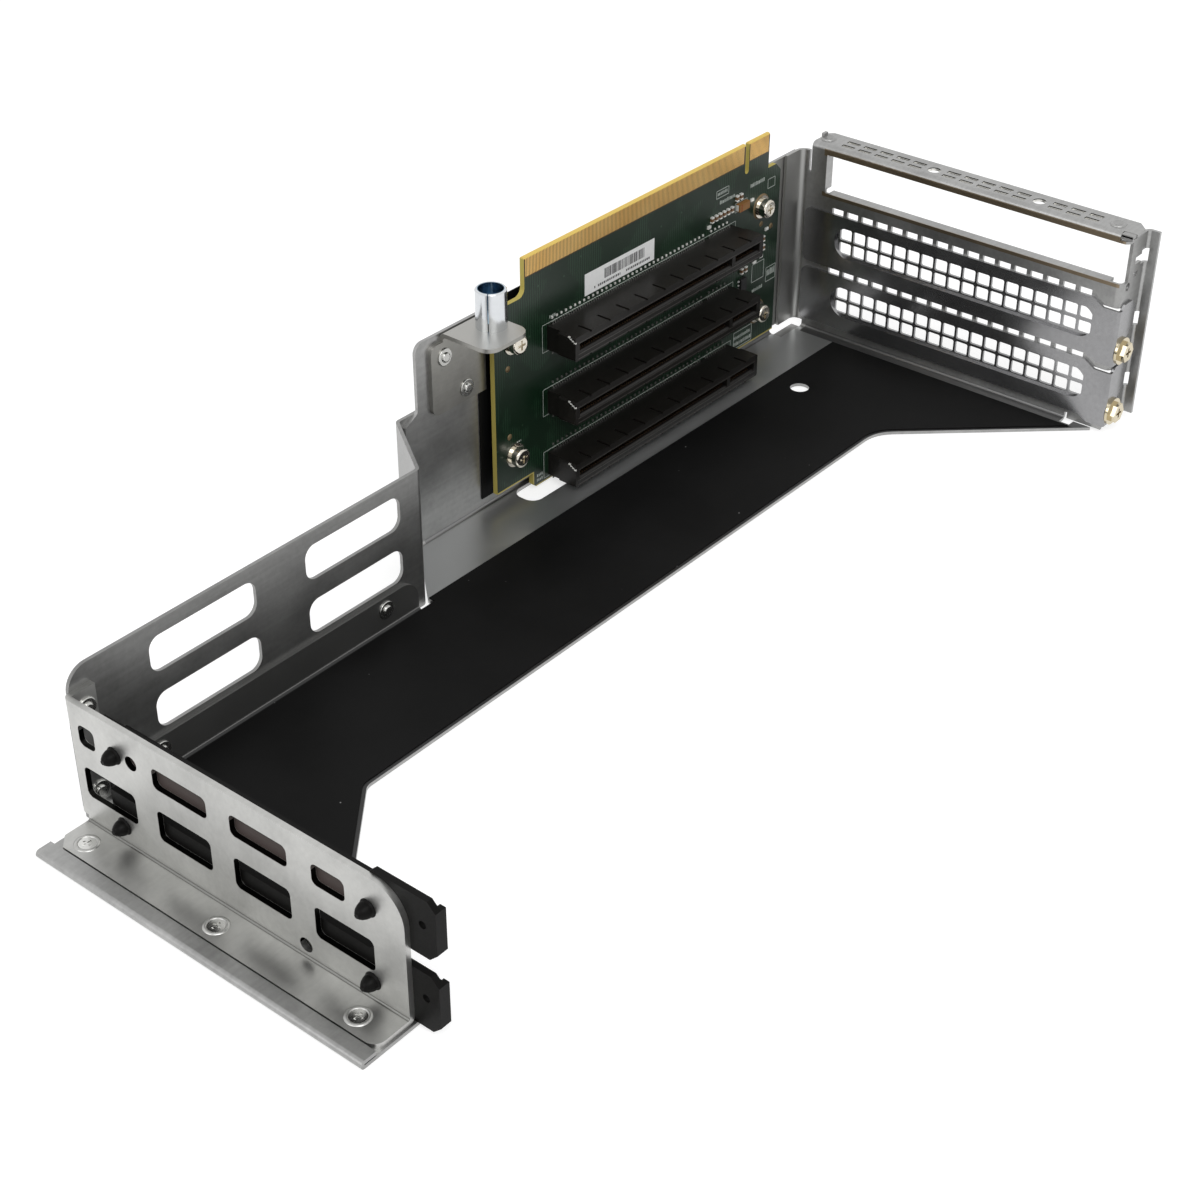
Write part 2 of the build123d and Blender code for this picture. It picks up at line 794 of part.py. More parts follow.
# Insulating film on the floor
with BuildPart() as floor_film:
    with BuildSketch(Plane.XY.offset(sheet)):
        add(tray_outline.sketch)
        offset(amount=-film_inset)
        rectangle_between((film_left_x, flat_end_y - 2 * bend), (film_step_x, flat_end_y))
        rectangle_between((film_step_x, flat_end_y - 2 * bend), (tray_end_x, film_back_y))
        with Locations((film_left_x, -side_y)):
            Rectangle(
                tray_end_x - film_inset - film_left_x,
                side_y + board_wall_y,
                align=(Align.MIN, Align.MIN),
                mode=Mode.INTERSECT,
            )
        with Locations((tie_hole_x, tie_hole_y)):
            Circle(tie_hole_radius, mode=Mode.SUBTRACT)
    extrude(amount=film_sheet)
save(floor_film, "floor_film")

# Riser board: card edge along the top, foot in the floor's window
with BuildPart() as riser_board:
    with BuildSketch(xz_plane(board_back_y)) as board_outline:
        with BuildLine():
            Polyline(
                (board_left_x, board_bottom_z),
                (board_foot_left_x, board_bottom_z),
                (board_foot_left_x, board_foot_z),
                (board_foot_right_x, board_foot_z),
                (board_foot_right_x, board_bottom_z),
                (board_right_x, board_bottom_z),
                (board_right_x, board_shoulder_z),
                (edge_right_x, board_shoulder_z),
                (edge_right_x, board_top_z),
                (edge_left_x, board_top_z),
                (edge_left_x, board_shoulder_z),
                (board_left_x, board_shoulder_z),
                close=True,
            )
        make_face()
        chamfer(nearest(board_outline, board_right_x, board_shoulder_z), board_corner)
        fillet(nearest(board_outline, edge_left_x, board_shoulder_z), board_corner)
        chamfer(nearest(board_outline, board_foot_left_x, board_foot_z), board_corner / 2)
        chamfer(nearest(board_outline, board_foot_right_x, board_foot_z), board_corner / 2)
        with Locations((key_x, board_top_z)):
            SlotCenterToCenter(2 * key_depth - key_width, key_width, rotation=90, mode=Mode.SUBTRACT)
        with Locations(*standoff_places):
            Circle(board_hole_radius, mode=Mode.SUBTRACT)
    extrude(amount=board_thickness)
    chamfer(edges_at(riser_board.part, Axis.X, z=board_top_z), edge_bevel)
save(riser_board, "riser_board")


def make_connector(name, plane_z):
    """A slot connector for a full-length card edge, with its key and notched sides."""
    front_y = board_front_y - connector_depth
    step_y = board_front_y - connector_end_depth
    low_z = plane_z - connector_height / 2
    high_z = plane_z + connector_height / 2
    half_slot = card_slot_width / 2
    right_x = connector_x + connector_length
    key_middle_x = connector_x + connector_key_x
    slot_spans = [
        (connector_x + card_slot_end, key_middle_x - connector_key_width / 2),
        (key_middle_x + connector_key_width / 2, right_x - card_slot_end),
    ]
    with BuildPart() as connector:
        box_between(
            (connector_x + connector_end_step, step_y, low_z),
            (right_x - connector_end_step, board_front_y, high_z),
        )
        box_between((connector_x, front_y, low_z), (right_x, step_y, high_z))
        ends = edges_at(connector.part, Axis.Y, x=connector_x)
        ends += edges_at(connector.part, Axis.Y, x=right_x)
        chamfer(ends, connector_end_chamfer)
        for start, end in slot_spans:
            box_between(
                (start, front_y, plane_z - half_slot),
                (end, front_y + card_slot_depth, plane_z + half_slot),
                mode=Mode.SUBTRACT,
            )
        lead = edges_at(connector.part, Axis.X, y=front_y, z=plane_z + half_slot)
        lead += edges_at(connector.part, Axis.X, y=front_y, z=plane_z - half_slot)
        chamfer(lead, card_slot_lead)
        notch_x = connector_x + connector_length / 2
        for side in (-1, 1):
            with Locations((notch_x, front_y, plane_z + side * connector_height / 2)):
                with GridLocations(notch_pitch, 1, notch_count, 1):
                    Box(notch_width, 2 * notch_length, 2 * notch_depth, mode=Mode.SUBTRACT)
    save(connector, name)


connector_names = ("lower_slot_connector", "middle_slot_connector", "upper_slot_connector")
for connector_name, connector_z in zip(connector_names, card_z):
    make_connector(connector_name, connector_z)

# Insulating sheet behind the board
with BuildPart() as board_backing:
    with BuildSketch(xz_plane(board_wall_y)):
        backing_right_x = board_right_x - backing_overhang
        rectangle_between(
            (board_left_x - backing_overhang, backing_bottom_z),
            (backing_right_x, hold_bottom_z - gap),
        )
        rectangle_between((hold_right_x + gap, backing_bottom_z), (backing_right_x, backing_top_z))
        with Locations(*standoff_places):
            Circle(standoff_radius + gap, mode=Mode.SUBTRACT)
    extrude(amount=backing_sheet)
save(board_backing, "board_backing")


def ring_at_screws(plane, outer_radius, thickness):
    """Rings round the four board screws, added to the part in hand."""
    with BuildSketch(plane) as rings:
        with Locations(*standoff_places):
            Circle(outer_radius)
            Circle(board_screw_radius + play, mode=Mode.SUBTRACT)
    extrude(rings.sketch, amount=thickness)


# Standoffs pressed into the board wall
with BuildPart() as board_standoffs:
    ring_at_screws(xz_plane(board_wall_y), standoff_radius, board_standoff)
    ring_at_screws(xz_plane(wall_outer_y), standoff_shank_radius, sheet)
save(board_standoffs, "board_standoffs")

# Flat washers and split spring washers under the board screws
spring_y = board_front_y - washer_thickness
with BuildPart() as board_washers:
    ring_at_screws(xz_plane(board_front_y), washer_radius, washer_thickness)
save(board_washers, "board_washers")

with BuildPart() as board_spring_washers:
    ring_at_screws(xz_plane(spring_y), spring_washer_radius, spring_washer_thickness)
    with Locations(*[(x, spring_y, z) for x, z in standoff_places]):
        Box(
            gap,
            2 * spring_washer_thickness,
            2 * spring_washer_radius,
            align=(Align.CENTER, Align.CENTER, Align.MIN),
            mode=Mode.SUBTRACT,
        )
save(board_spring_washers, "board_spring_washers")


def cut_cross(plane, length=cross_length):
    """A cross recess cut into a screw head whose top lies on the plane."""
    width = length / cross_slimness
    with BuildSketch(plane) as cross:
        Rectangle(length, width)
        Rectangle(width, length)
    extrude(cross.sketch, amount=-width, mode=Mode.SUBTRACT)


# Pan head screws that hold the board
with BuildPart() as board_screws:
    head_y = spring_y - spring_washer_thickness
    screw_tail_y = board_wall_y + sheet / 2
    with BuildSketch(xz_plane(head_y)):
        with Locations(*standoff_places):
            Circle(board_screw_head_radius)
    extrude(amount=board_screw_head)
    rims = board_screws.part.edges().filter_by(GeomType.CIRCLE).group_by(Axis.Y)[0]
    fillet(rims, board_screw_head / 3)
    with BuildSketch(xz_plane(screw_tail_y)):
        with Locations(*standoff_places):
            Circle(board_screw_radius)
    extrude(amount=screw_tail_y - head_y)
    for x, z in standoff_places:
        cut_cross(Plane((x, head_y - board_screw_head, z), x_dir=(1, 0, 0), z_dir=(0, -1, 0)))
save(board_screws, "board_screws")

# Hold-down bracket riveted to the board wall
with BuildPart() as hold_down_bracket:
    with BuildSketch(xz_plane(board_wall_y)) as hold_outline:
        with BuildLine():
            Polyline(
                (hold_left_x, hold_bottom_z),
                (hold_right_x, hold_bottom_z),
                (hold_right_x, hold_tab_top_z),
                (hold_tab_left_x, hold_tab_top_z),
                (hold_tab_left_x, hold_shoulder_z),
                (hold_left_x, hold_shoulder_z),
                close=True,
            )
        make_face()
        fillet(nearest(hold_outline, hold_left_x, hold_shoulder_z), hold_corner)
        fillet(nearest(hold_outline, hold_left_x, hold_bottom_z), hold_corner)
        with Locations(*hold_rivets):
            Circle(rivet_radius + play, mode=Mode.SUBTRACT)
    extrude(amount=hold_sheet)
    with BuildSketch(Plane.XY.offset(hold_tab_foot_z)) as hold_tab_outline:
        rectangle_between((hold_tab_left_x, hold_tab_front_y), (hold_right_x, board_wall_y))
        fillet(nearest(hold_tab_outline, hold_tab_left_x, hold_tab_front_y), hold_tab_corner)
        fillet(nearest(hold_tab_outline, hold_right_x, hold_tab_front_y), hold_tab_corner)
        with Locations((sleeve_x, sleeve_y)):
            Circle(sleeve_radius - sleeve_step + play, mode=Mode.SUBTRACT)
    extrude(amount=hold_sheet)
    hold_part = hold_down_bracket.part
    fillet(edges_at(hold_part, Axis.X, y=hold_face_y, z=hold_tab_foot_z), hold_sheet / 2)
    hold_part = hold_down_bracket.part
    fillet(edges_at(hold_part, Axis.X, y=board_wall_y, z=hold_tab_top_z), 1.5 * hold_sheet)
save(hold_down_bracket, "hold_down_bracket")

# Rolled guide sleeve riveted into the hold-down bracket
with BuildPart() as guide_sleeve:
    with BuildSketch(Plane.XY.offset(hold_tab_top_z)):
        with Locations((sleeve_x, sleeve_y)):
            Circle(sleeve_radius)
    extrude(amount=sleeve_height)
    top_rim = guide_sleeve.part.edges().filter_by(GeomType.CIRCLE).group_by(Axis.Z)[-1]
    chamfer(top_rim, (sleeve_radius - sleeve_bore) / 3)
    with BuildSketch(Plane.XY.offset(hold_tab_foot_z)):
        with Locations((sleeve_x, sleeve_y)):
            Circle(sleeve_radius - sleeve_step)
    extrude(amount=hold_sheet)
    with BuildSketch(Plane.XY.offset(hold_tab_foot_z)):
        with Locations((sleeve_x, sleeve_y)):
            Circle(sleeve_bore)
    extrude(amount=sleeve_height + hold_sheet, mode=Mode.SUBTRACT)
    with BuildSketch(Plane.XY.offset(hold_tab_top_z)):
        with Locations(Location((sleeve_x, sleeve_y, 0), (0, 0, sleeve_seam_angle))):
            Rectangle(2 * sleeve_radius, sleeve_seam, align=(Align.MIN, Align.CENTER))
    extrude(amount=sleeve_height, mode=Mode.SUBTRACT)
save(guide_sleeve, "guide_sleeve")


def make_rivets(name, places, head_y, tail_y):
    """Rivets along Y through all sheets between head_y, towards the open side, and tail_y."""
    with BuildPart() as rivets:
        for radius, height in ((rivet_head_radius, rivet_head), (rivet_dome_radius, rivet_dome)):
            with BuildSketch(xz_plane(head_y)):
                with Locations(*places):
                    Circle(radius)
            extrude(amount=height)
            rims = rivets.part.edges().filter_by(GeomType.CIRCLE).group_by(Axis.Y)[0]
            fillet(rims, height / 2)
        with BuildSketch(xz_plane(tail_y)):
            with Locations(*places):
                Circle(rivet_radius)
        extrude(amount=tail_y - head_y)
        with BuildSketch(xz_plane(tail_y + rivet_tail)):
            with Locations(*places):
                Circle(rivet_tail_radius)
        extrude(amount=rivet_tail)
    save(rivets, name)


make_rivets("lip_rivets", lip_rivets, lip_y, side_outer_y)
make_rivets("end_tab_rivets", tab_rivets, side_y - end_sheet, side_outer_y)
make_rivets("hold_down_rivets", hold_rivets, hold_face_y, wall_outer_y)

# Flat head screws that hold the end bracket on the floor
with BuildPart() as flange_screws:
    screw_top = (Align.CENTER, Align.CENTER, Align.MAX)
    for y in flange_screw_ys:
        with Locations((flange_screw_x, y, end_flange_top)):
            Cone(
                flange_screw_radius,
                flange_screw_head_radius,
                flange_screw_head_radius - flange_screw_radius,
                align=screw_top,
            )
            Cylinder(flange_screw_radius, end_flange_top - play, align=screw_top)
        cut_cross(Plane((flange_screw_x, y, end_flange_top)), flange_cross_length)
save(flange_screws, "flange_screws")


def make_slot_cover(name, plane_z):
    """A blank slot cover: pressed field of square vents, stepped neck and screw tab."""
    low_z = plane_z - cover_drop
    high_z = low_z + cover_height
    tab_low_z = plane_z - cover_tab_drop
    tab_high_z = plane_z + cover_tab_rise
    tab_step_z = plane_z + cover_tab_step_rise
    tab_end_x = panel_x + cover_tab_length
    field_z = plane_z + field_rise
    with BuildPart() as cover:
        with BuildSketch(Plane.YZ.offset(cover_x)) as blank:
            with BuildLine():
                Polyline(
                    (cover_left_y, low_z),
                    (cover_left_y, high_z),
                    (cover_shoulder_y, high_z),
                    (cover_neck_y, high_z - cover_neck_drop),
                    (cover_tab_y, high_z - cover_neck_drop),
                    (cover_tab_y, tab_low_z),
                    (cover_neck_y, tab_low_z),
                    (cover_shoulder_y, low_z),
                    close=True,
                )
            make_face()
            fillet(nearest(blank, cover_left_y, high_z), cover_corner_radius)
            fillet(nearest(blank, cover_left_y, low_z), cover_corner_radius)
        extrude(amount=cover_sheet)
        with BuildSketch(xz_plane(panel_end_y)):
            with BuildLine():
                Polyline(
                    (cover_x, tab_low_z),
                    (tab_end_x - cover_tab_step, tab_low_z),
                    (tab_end_x - cover_tab_step, tab_step_z - cover_tab_step),
                    (tab_end_x, tab_step_z),
                    (tab_end_x, tab_high_z - cover_tab_step),
                    (tab_end_x - cover_tab_step, tab_high_z),
                    (panel_x + 2 * bend, tab_high_z),
                    (panel_x + bend, high_z - cover_neck_drop),
                    (cover_x, high_z - cover_neck_drop),
                    close=True,
                )
            make_face()
            with Locations((screw_x, plane_z + screw_rise)):
                Circle(cover_screw_radius + 4 * play, mode=Mode.SUBTRACT)
        extrude(amount=cover_sheet)
        fillet(edges_at(cover.part, Axis.Z, x=cover_x, y=cover_tab_y), cover_sheet)

        # Field pressed towards the panel, with its grid of vents
        with BuildSketch(Plane.YZ.offset(cover_x)):
            with Locations((field_center_y, field_z)):
                SlotOverall(field_length, field_height + 2 * field_wall)
        extrude(amount=field_depth + cover_sheet)
        with BuildSketch(Plane.YZ.offset(cover_x)):
            with Locations((field_center_y, field_z)):
                SlotOverall(field_length - 2 * field_wall, field_height)
        extrude(amount=field_depth, mode=Mode.SUBTRACT)
        with BuildSketch(Plane.YZ.offset(cover_x + field_depth)):
            with Locations((field_center_y, field_z)):
                with GridLocations(field_pitch_y, field_pitch_z, field_columns, field_rows):
                    RectangleRounded(field_hole_width, field_hole_height, field_hole_radius)
        extrude(amount=cover_sheet, mode=Mode.SUBTRACT)
    save(cover, name)


for cover_name, cover_card_z in zip(("lower_slot_cover", "middle_slot_cover"), card_z):
    make_slot_cover(cover_name, cover_card_z)

# Washer head screws that hold the covers on the end flange
with BuildPart() as cover_screws:
    cover_screw_places = [(screw_x, z) for z in screw_z[:2]]
    with BuildSketch(xz_plane(cover_tab_y)):
        with Locations(*cover_screw_places):
            Circle(cover_screw_washer_radius)
    extrude(amount=cover_screw_washer)
    with BuildSketch(xz_plane(cover_tab_y)):
        with Locations(*cover_screw_places):
            RegularPolygon(cover_screw_hex, 6)
    extrude(amount=cover_screw_head)
    with BuildSketch(xz_plane(panel_end_y + cover_screw_tail)):
        with Locations(*cover_screw_places):
            Circle(cover_screw_radius - play)
    extrude(amount=cover_screw_tail + cover_sheet)
    head_top_y = cover_tab_y - cover_screw_head
    for x, z in cover_screw_places:
        cut_cross(Plane((x, head_top_y, z), x_dir=(1, 0, 0), z_dir=(0, -1, 0)))
save(cover_screws, "cover_screws")

# Label, capacitors and chips on the board
with BuildPart() as board_label:
    box_between(
        (label_x, board_front_y - label_sheet, label_z),
        (label_x + label_length, board_front_y, label_z + label_height),
    )
save(board_label, "board_label")


def make_board_blocks(name, places, size):
    """Small blocks soldered to the board, centred on the given places."""
    with BuildPart() as blocks:
        with Locations(*[(x, board_front_y, z) for x, z in places]):
            Box(*size, align=(Align.CENTER, Align.MAX, Align.CENTER))
    save(blocks, name)


make_board_blocks("board_capacitors", capacitor_places, capacitor_size)
make_board_blocks("board_tantalum", tantalum_places, tantalum_size)
make_board_blocks("board_chip", chip_places, chip_size)
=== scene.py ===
import math
import random

import bmesh
import bpy
from mathutils import Matrix, Vector


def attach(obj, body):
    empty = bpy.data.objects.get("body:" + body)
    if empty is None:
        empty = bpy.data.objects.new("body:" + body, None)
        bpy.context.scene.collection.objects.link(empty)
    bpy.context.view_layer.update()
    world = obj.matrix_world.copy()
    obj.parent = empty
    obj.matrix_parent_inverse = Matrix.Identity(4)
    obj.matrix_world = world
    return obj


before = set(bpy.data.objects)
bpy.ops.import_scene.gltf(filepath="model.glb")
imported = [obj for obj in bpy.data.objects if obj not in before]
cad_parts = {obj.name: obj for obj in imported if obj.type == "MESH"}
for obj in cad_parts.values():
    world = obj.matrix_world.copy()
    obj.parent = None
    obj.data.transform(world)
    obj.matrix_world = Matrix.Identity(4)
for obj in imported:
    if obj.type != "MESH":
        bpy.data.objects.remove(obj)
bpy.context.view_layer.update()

# The side wall: a sheet of zinc-plated steel riveted to the cage's lip and to the end bracket. The
# plating is satin and softly mottled, with the sheet's rolling grain along X.


def add_node(tree, kind, sockets=None, **settings):
    """A shader node; each named input gets a value, or a link when a socket is given."""
    node = tree.nodes.new(kind)
    for name, value in settings.items():
        setattr(node, name, value)
    for name, value in (sockets or {}).items():
        if isinstance(value, bpy.types.NodeSocket):
            tree.links.new(value, node.inputs[name])
        else:
            node.inputs[name].default_value = value
    return node


def work_out(tree, operation, *values):
    """The result of one step of arithmetic on numbers or sockets."""
    step = add_node(tree, "ShaderNodeMath", dict(enumerate(values)), operation=operation)
    return step.outputs["Value"]


def work_out_vector(tree, operation, sockets):
    """The result of one step of arithmetic on places or colours."""
    step = add_node(tree, "ShaderNodeVectorMath", sockets, operation=operation)
    return step.outputs["Vector"]


def remap(tree, value, span, result_span):
    """A value carried from one span of numbers to another, and held at its ends."""
    step = add_node(
        tree,
        "ShaderNodeMapRange",
        {
            "Value": value,
            "From Min": span[0],
            "From Max": span[1],
            "To Min": result_span[0],
            "To Max": result_span[1],
        },
    )
    return step.outputs["Result"]


def blend(tree, share, under, over):
    """One colour laid over another by a share; each is a socket or (red, green, blue)."""
    colours = [c if isinstance(c, bpy.types.NodeSocket) else (*c, 1) for c in (under, over)]
    step = add_node(
        tree,
        "ShaderNodeMix",
        {"Factor": share, "A": colours[0], "B": colours[1]},
        data_type="RGBA",
    )
    colour_output = 2
    return step.outputs[colour_output]


def add_noise(tree, place, scale, detail, roughness=0.5):
    """Cloudy noise between nought and one, finer the larger its scale."""
    clouds = add_node(
        tree,
        "ShaderNodeTexNoise",
        {"Vector": place, "Scale": scale, "Detail": detail, "Roughness": roughness},
    )
    return clouds.outputs["Fac"]


def start_group(name, inputs, outputs):
    """An empty node group, the sockets that bring its inputs and those that take its results."""
    group = bpy.data.node_groups.new(name, "ShaderNodeTree")
    for socket_name, kind in inputs.items():
        group.interface.new_socket(socket_name, in_out="INPUT", socket_type=f"NodeSocket{kind}")
    for socket_name, kind in outputs.items():
        group.interface.new_socket(socket_name, in_out="OUTPUT", socket_type=f"NodeSocket{kind}")
    entry = group.nodes.new("NodeGroupInput")
    leave = group.nodes.new("NodeGroupOutput")
    return group, entry.outputs, leave.inputs


def start_material(name, **sockets):
    """A material, its node tree and its Principled shader, whose sockets are set by name."""
    material = bpy.data.materials.new(name)
    material.use_nodes = True
    shader = material.node_tree.nodes["Principled BSDF"]
    for socket_name, value in sockets.items():
        shader.inputs[socket_name.replace("_", " ")].default_value = value
    return material, material.node_tree, shader


def own_position(tree):
    """The place on the part in metres."""
    return add_node(tree, "ShaderNodeTexCoord").outputs["Object"]


def lay_bump(tree, shader, height, distance):
    """Relief on the shader's normal: a height from nought to one, and its distance in metres."""
    bump = add_node(tree, "ShaderNodeBump", {"Height": height, "Distance": distance})
    tree.links.new(bump.outputs["Normal"], shader.inputs["Normal"])


def cover_with(group, name, settings, relief, **sockets):
    """A material whose colour, roughness and relief come from a node group."""
    material, tree, shader = start_material(name, **sockets)
    surface = add_node(
        tree,
        "ShaderNodeGroup",
        {"Place": own_position(tree), **settings},
        node_tree=group,
    )
    tree.links.new(surface.outputs["Colour"], shader.inputs["Base Color"])
    tree.links.new(surface.outputs["Roughness"], shader.inputs["Roughness"])
    lay_bump(tree, shader, surface.outputs["Height"], relief)
    return material


def dress(name, material, edge=0.0):
    """Gives a solid of the part its material, and small rounded edges of that width in metres."""
    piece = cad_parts[name]
    for place in piece.material_slots:
        place.material = material
    if edge:
        rounding = piece.modifiers.new("rounded edges", "BEVEL")
        rounding.width = edge
        rounding.segments = 2
        rounding.limit_method = "ANGLE"
        rounding.angle_limit = math.radians(40)
        rounding.use_clamp_overlap = False


plated_steel, given, result = start_group(
    "plated steel",
    {
        "Place": "Vector",
        "Colour": "Color",
        "Mottle": "Float",
        "Grain": "Float",
        "Roughness": "Float",
    },
    {"Colour": "Color", "Roughness": "Float", "Height": "Float"},
)
blotches = add_noise(plated_steel, given["Place"], 55.0, 6.0, 0.62)
crystals = add_noise(plated_steel, given["Place"], 700.0, 3.0, 0.6)
rolling_stretch = (25.0, 900.0, 900.0)
rolled = work_out_vector(plated_steel, "MULTIPLY", {0: given["Place"], 1: rolling_stretch})
grain = add_noise(plated_steel, rolled, 1.0, 2.0)
blotch_share = work_out(plated_steel, "ADD", blotches, -0.5)
blotch_light = work_out(plated_steel, "MULTIPLY_ADD", blotch_share, given["Mottle"], 1.0)
fine = work_out(plated_steel, "ADD", crystals, grain)
fine_share = work_out(plated_steel, "ADD", fine, -1.0)
light = work_out(plated_steel, "MULTIPLY_ADD", fine_share, given["Grain"], blotch_light)
shaded = work_out_vector(plated_steel, "SCALE", {0: given["Colour"], "Scale": light})
rough = work_out(plated_steel, "MULTIPLY_ADD", blotch_share, 0.22, given["Roughness"])
plated_steel.links.new(shaded, result["Colour"])
plated_steel.links.new(rough, result["Roughness"])
plated_steel.links.new(fine, result["Height"])
plating_relief = 2e-6


def plate(name, colour, mottle, grain_share, roughness, metallic=1.0):
    """A plated steel material."""
    settings = {
        "Colour": (*colour, 1),
        "Mottle": mottle,
        "Grain": grain_share,
        "Roughness": roughness,
    }
    return cover_with(plated_steel, name, settings, plating_relief, Metallic=metallic)


side_zinc = plate("side wall zinc", (0.27, 0.27, 0.265), 0.6, 0.3, 0.33, metallic=0.9)
dress("side_wall", side_zinc, edge=0.0001)

# The cage frame: floor, lip, board wall and rear panel folded from one plated sheet. Brown bands
# above and below the open window are painted reflections. Painted light makes the bare floor, which
# faces up, and the lap beside the board paler. Painted shade darkens the lip, the board wall's fold
# and the rear panel's foot over their bends' reflections. The vents get a painted highlight low on
# their walls and painted shade high on them. The film is glued right up to the floor's cut edge, so
# that margin is black, and where the black runs onto the lip's bend it is painted shade too.
tinted_box, given, result = start_group(
    "tinted box",
    {"Place": "Vector", "Low": "Vector", "High": "Vector", "Under": "Color", "Over": "Color"},
    {"Colour": "Color", "Share": "Float"},
)
above = work_out_vector(tinted_box, "SUBTRACT", {0: given["Place"], 1: given["Low"]})
below = work_out_vector(tinted_box, "SUBTRACT", {0: given["High"], 1: given["Place"]})
inward = work_out_vector(tinted_box, "MINIMUM", {0: above, 1: below})
depths = add_node(tinted_box, "ShaderNodeSeparateXYZ", {"Vector": inward}).outputs
across_depth = work_out(tinted_box, "MINIMUM", depths["X"], depths["Y"])
least_depth = work_out(tinted_box, "MINIMUM", across_depth, depths["Z"])
inside = work_out(tinted_box, "GREATER_THAN", least_depth, 0.0)
tinted = blend(tinted_box, inside, given["Under"], given["Over"])
tinted_box.links.new(tinted, result["Colour"])
tinted_box.links.new(inside, result["Share"])


def tint(material, label, low, high, colour):
    """Lays a colour over the material's own inside a box given by two corners in metres, and
    returns the share: one inside the box, else nought."""
    tree = material.node_tree
    base_colour = tree.nodes["Principled BSDF"].inputs["Base Color"]
    patch = add_node(
        tree,
        "ShaderNodeGroup",
        {
            "Place": own_position(tree),
            "Low": low,
            "High": high,
            "Under": base_colour.links[0].from_socket,
            "Over": (*colour, 1),
        },
        node_tree=tinted_box,
        label=label,
    )
    tree.links.new(patch.outputs["Colour"], base_colour)
    return patch.outputs["Share"]


sheet_metallic = 0.86
frame_zinc = plate("frame zinc", (0.36, 0.36, 0.355), 0.8, 0.28, 0.33, metallic=sheet_metallic)
# Brown of the painted reflections over and under the open window.
brown_reflection = (0.24, 0.19, 0.13)
for label, low, high, colour in (
    ("over the open window", (0.3148, -0.045, 0.0612), (0.3152, 0.0632, 0.0634), brown_reflection),
    ("under the open window", (0.3148, -0.045, 0.0478), (0.3152, 0.0632, 0.0493), brown_reflection),
    # Painted shade on the lip and its bend, over their reflection.
    ("lip", (0.0085, 0.051, 0.0011), (0.1145, 0.053, 0.0112), (0.19, 0.19, 0.185)),
    # Painted highlight: the lap beside the board made paler.
    ("lap beside the board", (0.3, 0.07, 0.001), (0.3149, 0.075, 0.064), (0.36, 0.36, 0.35)),
    # Painted light: the bare floor, which faces up, made paler.
    ("bare floor", (0.0115, 0.052, 0.0009), (0.3135, 0.0714, 0.00101), (0.53, 0.54, 0.54)),
    # Painted shade over the bright bends at the board wall's fold and the rear panel's foot.
    ("board wall fold", (0.1385, 0.0714, 0.00101), (0.3135, 0.07249, 0.0021), (0.22, 0.22, 0.22)),
    ("rear panel foot", (0.3112, -0.04, 0.0009), (0.31499, 0.066, 0.0021), (0.17, 0.17, 0.17)),
    # A painted highlight low on the vents' walls and painted shade high on them.
    ("vent walls, low", (0.3172, -0.0395, 0.0636), (0.3242, 0.0655, 0.0643), (0.85, 0.84, 0.80)),
    ("vent walls, high", (0.3172, -0.0395, 0.0643), (0.3242, 0.0655, 0.06459), (0.03, 0.03, 0.03)),
):
    tint(frame_zinc, label, low, high, colour)
# The film's black on the floor's margin, which is also painted shade where it runs onto the lip's
# bend.
margin_low = (0.0105, -0.06, 0.00096)
margin_high = (0.3112, 0.05135, 0.00155)
margin = tint(frame_zinc, "film margin", margin_low, margin_high, (0.006, 0.006, 0.006))
tree = frame_zinc.node_tree
margin_metallic = remap(tree, margin, (0.0, 1.0), (sheet_metallic, 0.0))
tree.links.new(margin_metallic, tree.nodes["Principled BSDF"].inputs["Metallic"])
dress("cage_frame", frame_zinc, edge=0.00015)

# The hold-down bracket: a smaller sheet riveted to the board wall, whose tab on top carries the
# sleeve. Its plating is warmer in tone, and painted light makes the tab, which faces up, paler.
hold_tone = (0.31, 0.305, 0.285)
hold_zinc = plate("hold-down zinc", hold_tone, 0.8, 0.15, 0.34, metallic=sheet_metallic)
# Painted light on the tab's upward face.
tab_low = (-1.0, -1.0, 0.06255)
tab_high = (1.0, 1.0, 0.06265)
tint(hold_zinc, "tab top", tab_low, tab_high, (0.40, 0.395, 0.375))
dress("hold_down_bracket", hold_zinc, edge=0.00015)

# The end bracket: thicker plated sheet folded into the end wall, with a flange on the floor held by
# three flat-head screws that sit in dimples, and a tab riveted to the side wall. Painted shade
# darkens the cut edges of its windows and the fold at its foot.
bracket_zinc = plate("bracket zinc", (0.51, 0.51, 0.495), 0.8, 0.14, 0.36)
# Painted shade on the windows' cut edges.
window_low = (0.00008, -0.0495, 0.0055)
window_high = (0.00142, 0.0575, 0.0290)
tint(bracket_zinc, "window edges", window_low, window_high, (0.012, 0.012, 0.011))
# Painted shade over the fold's reflection.
fold_low = (-0.00055, -0.070, 0.00249)
fold_high = (0.00001, 0.070, 0.00305)
tint(bracket_zinc, "fold", fold_low, fold_high, (0.22, 0.22, 0.21))
dress("end_bracket", bracket_zinc, edge=0.00045)
screw_steel = plate("screw steel", (0.72, 0.72, 0.70), 0.4, 0.15, 0.2)
dress("flange_screws", screw_steel, edge=0.00006)


def add_piece(name, form, material, smooth=False):
    """Makes a piece of the root body from a bmesh whose points are in millimetres."""
    bmesh.ops.scale(form, vec=(0.001, 0.001, 0.001), verts=form.verts)
    bmesh.ops.recalc_face_normals(form, faces=form.faces)
    mesh = bpy.data.meshes.new(name)
    form.to_mesh(mesh)
    form.free()
    mesh.materials.append(material)
    for face in mesh.polygons:
        face.use_smooth = smooth
    piece = bpy.data.objects.new(name, mesh)
    bpy.context.scene.collection.objects.link(piece)
    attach(piece, "root")
    return piece


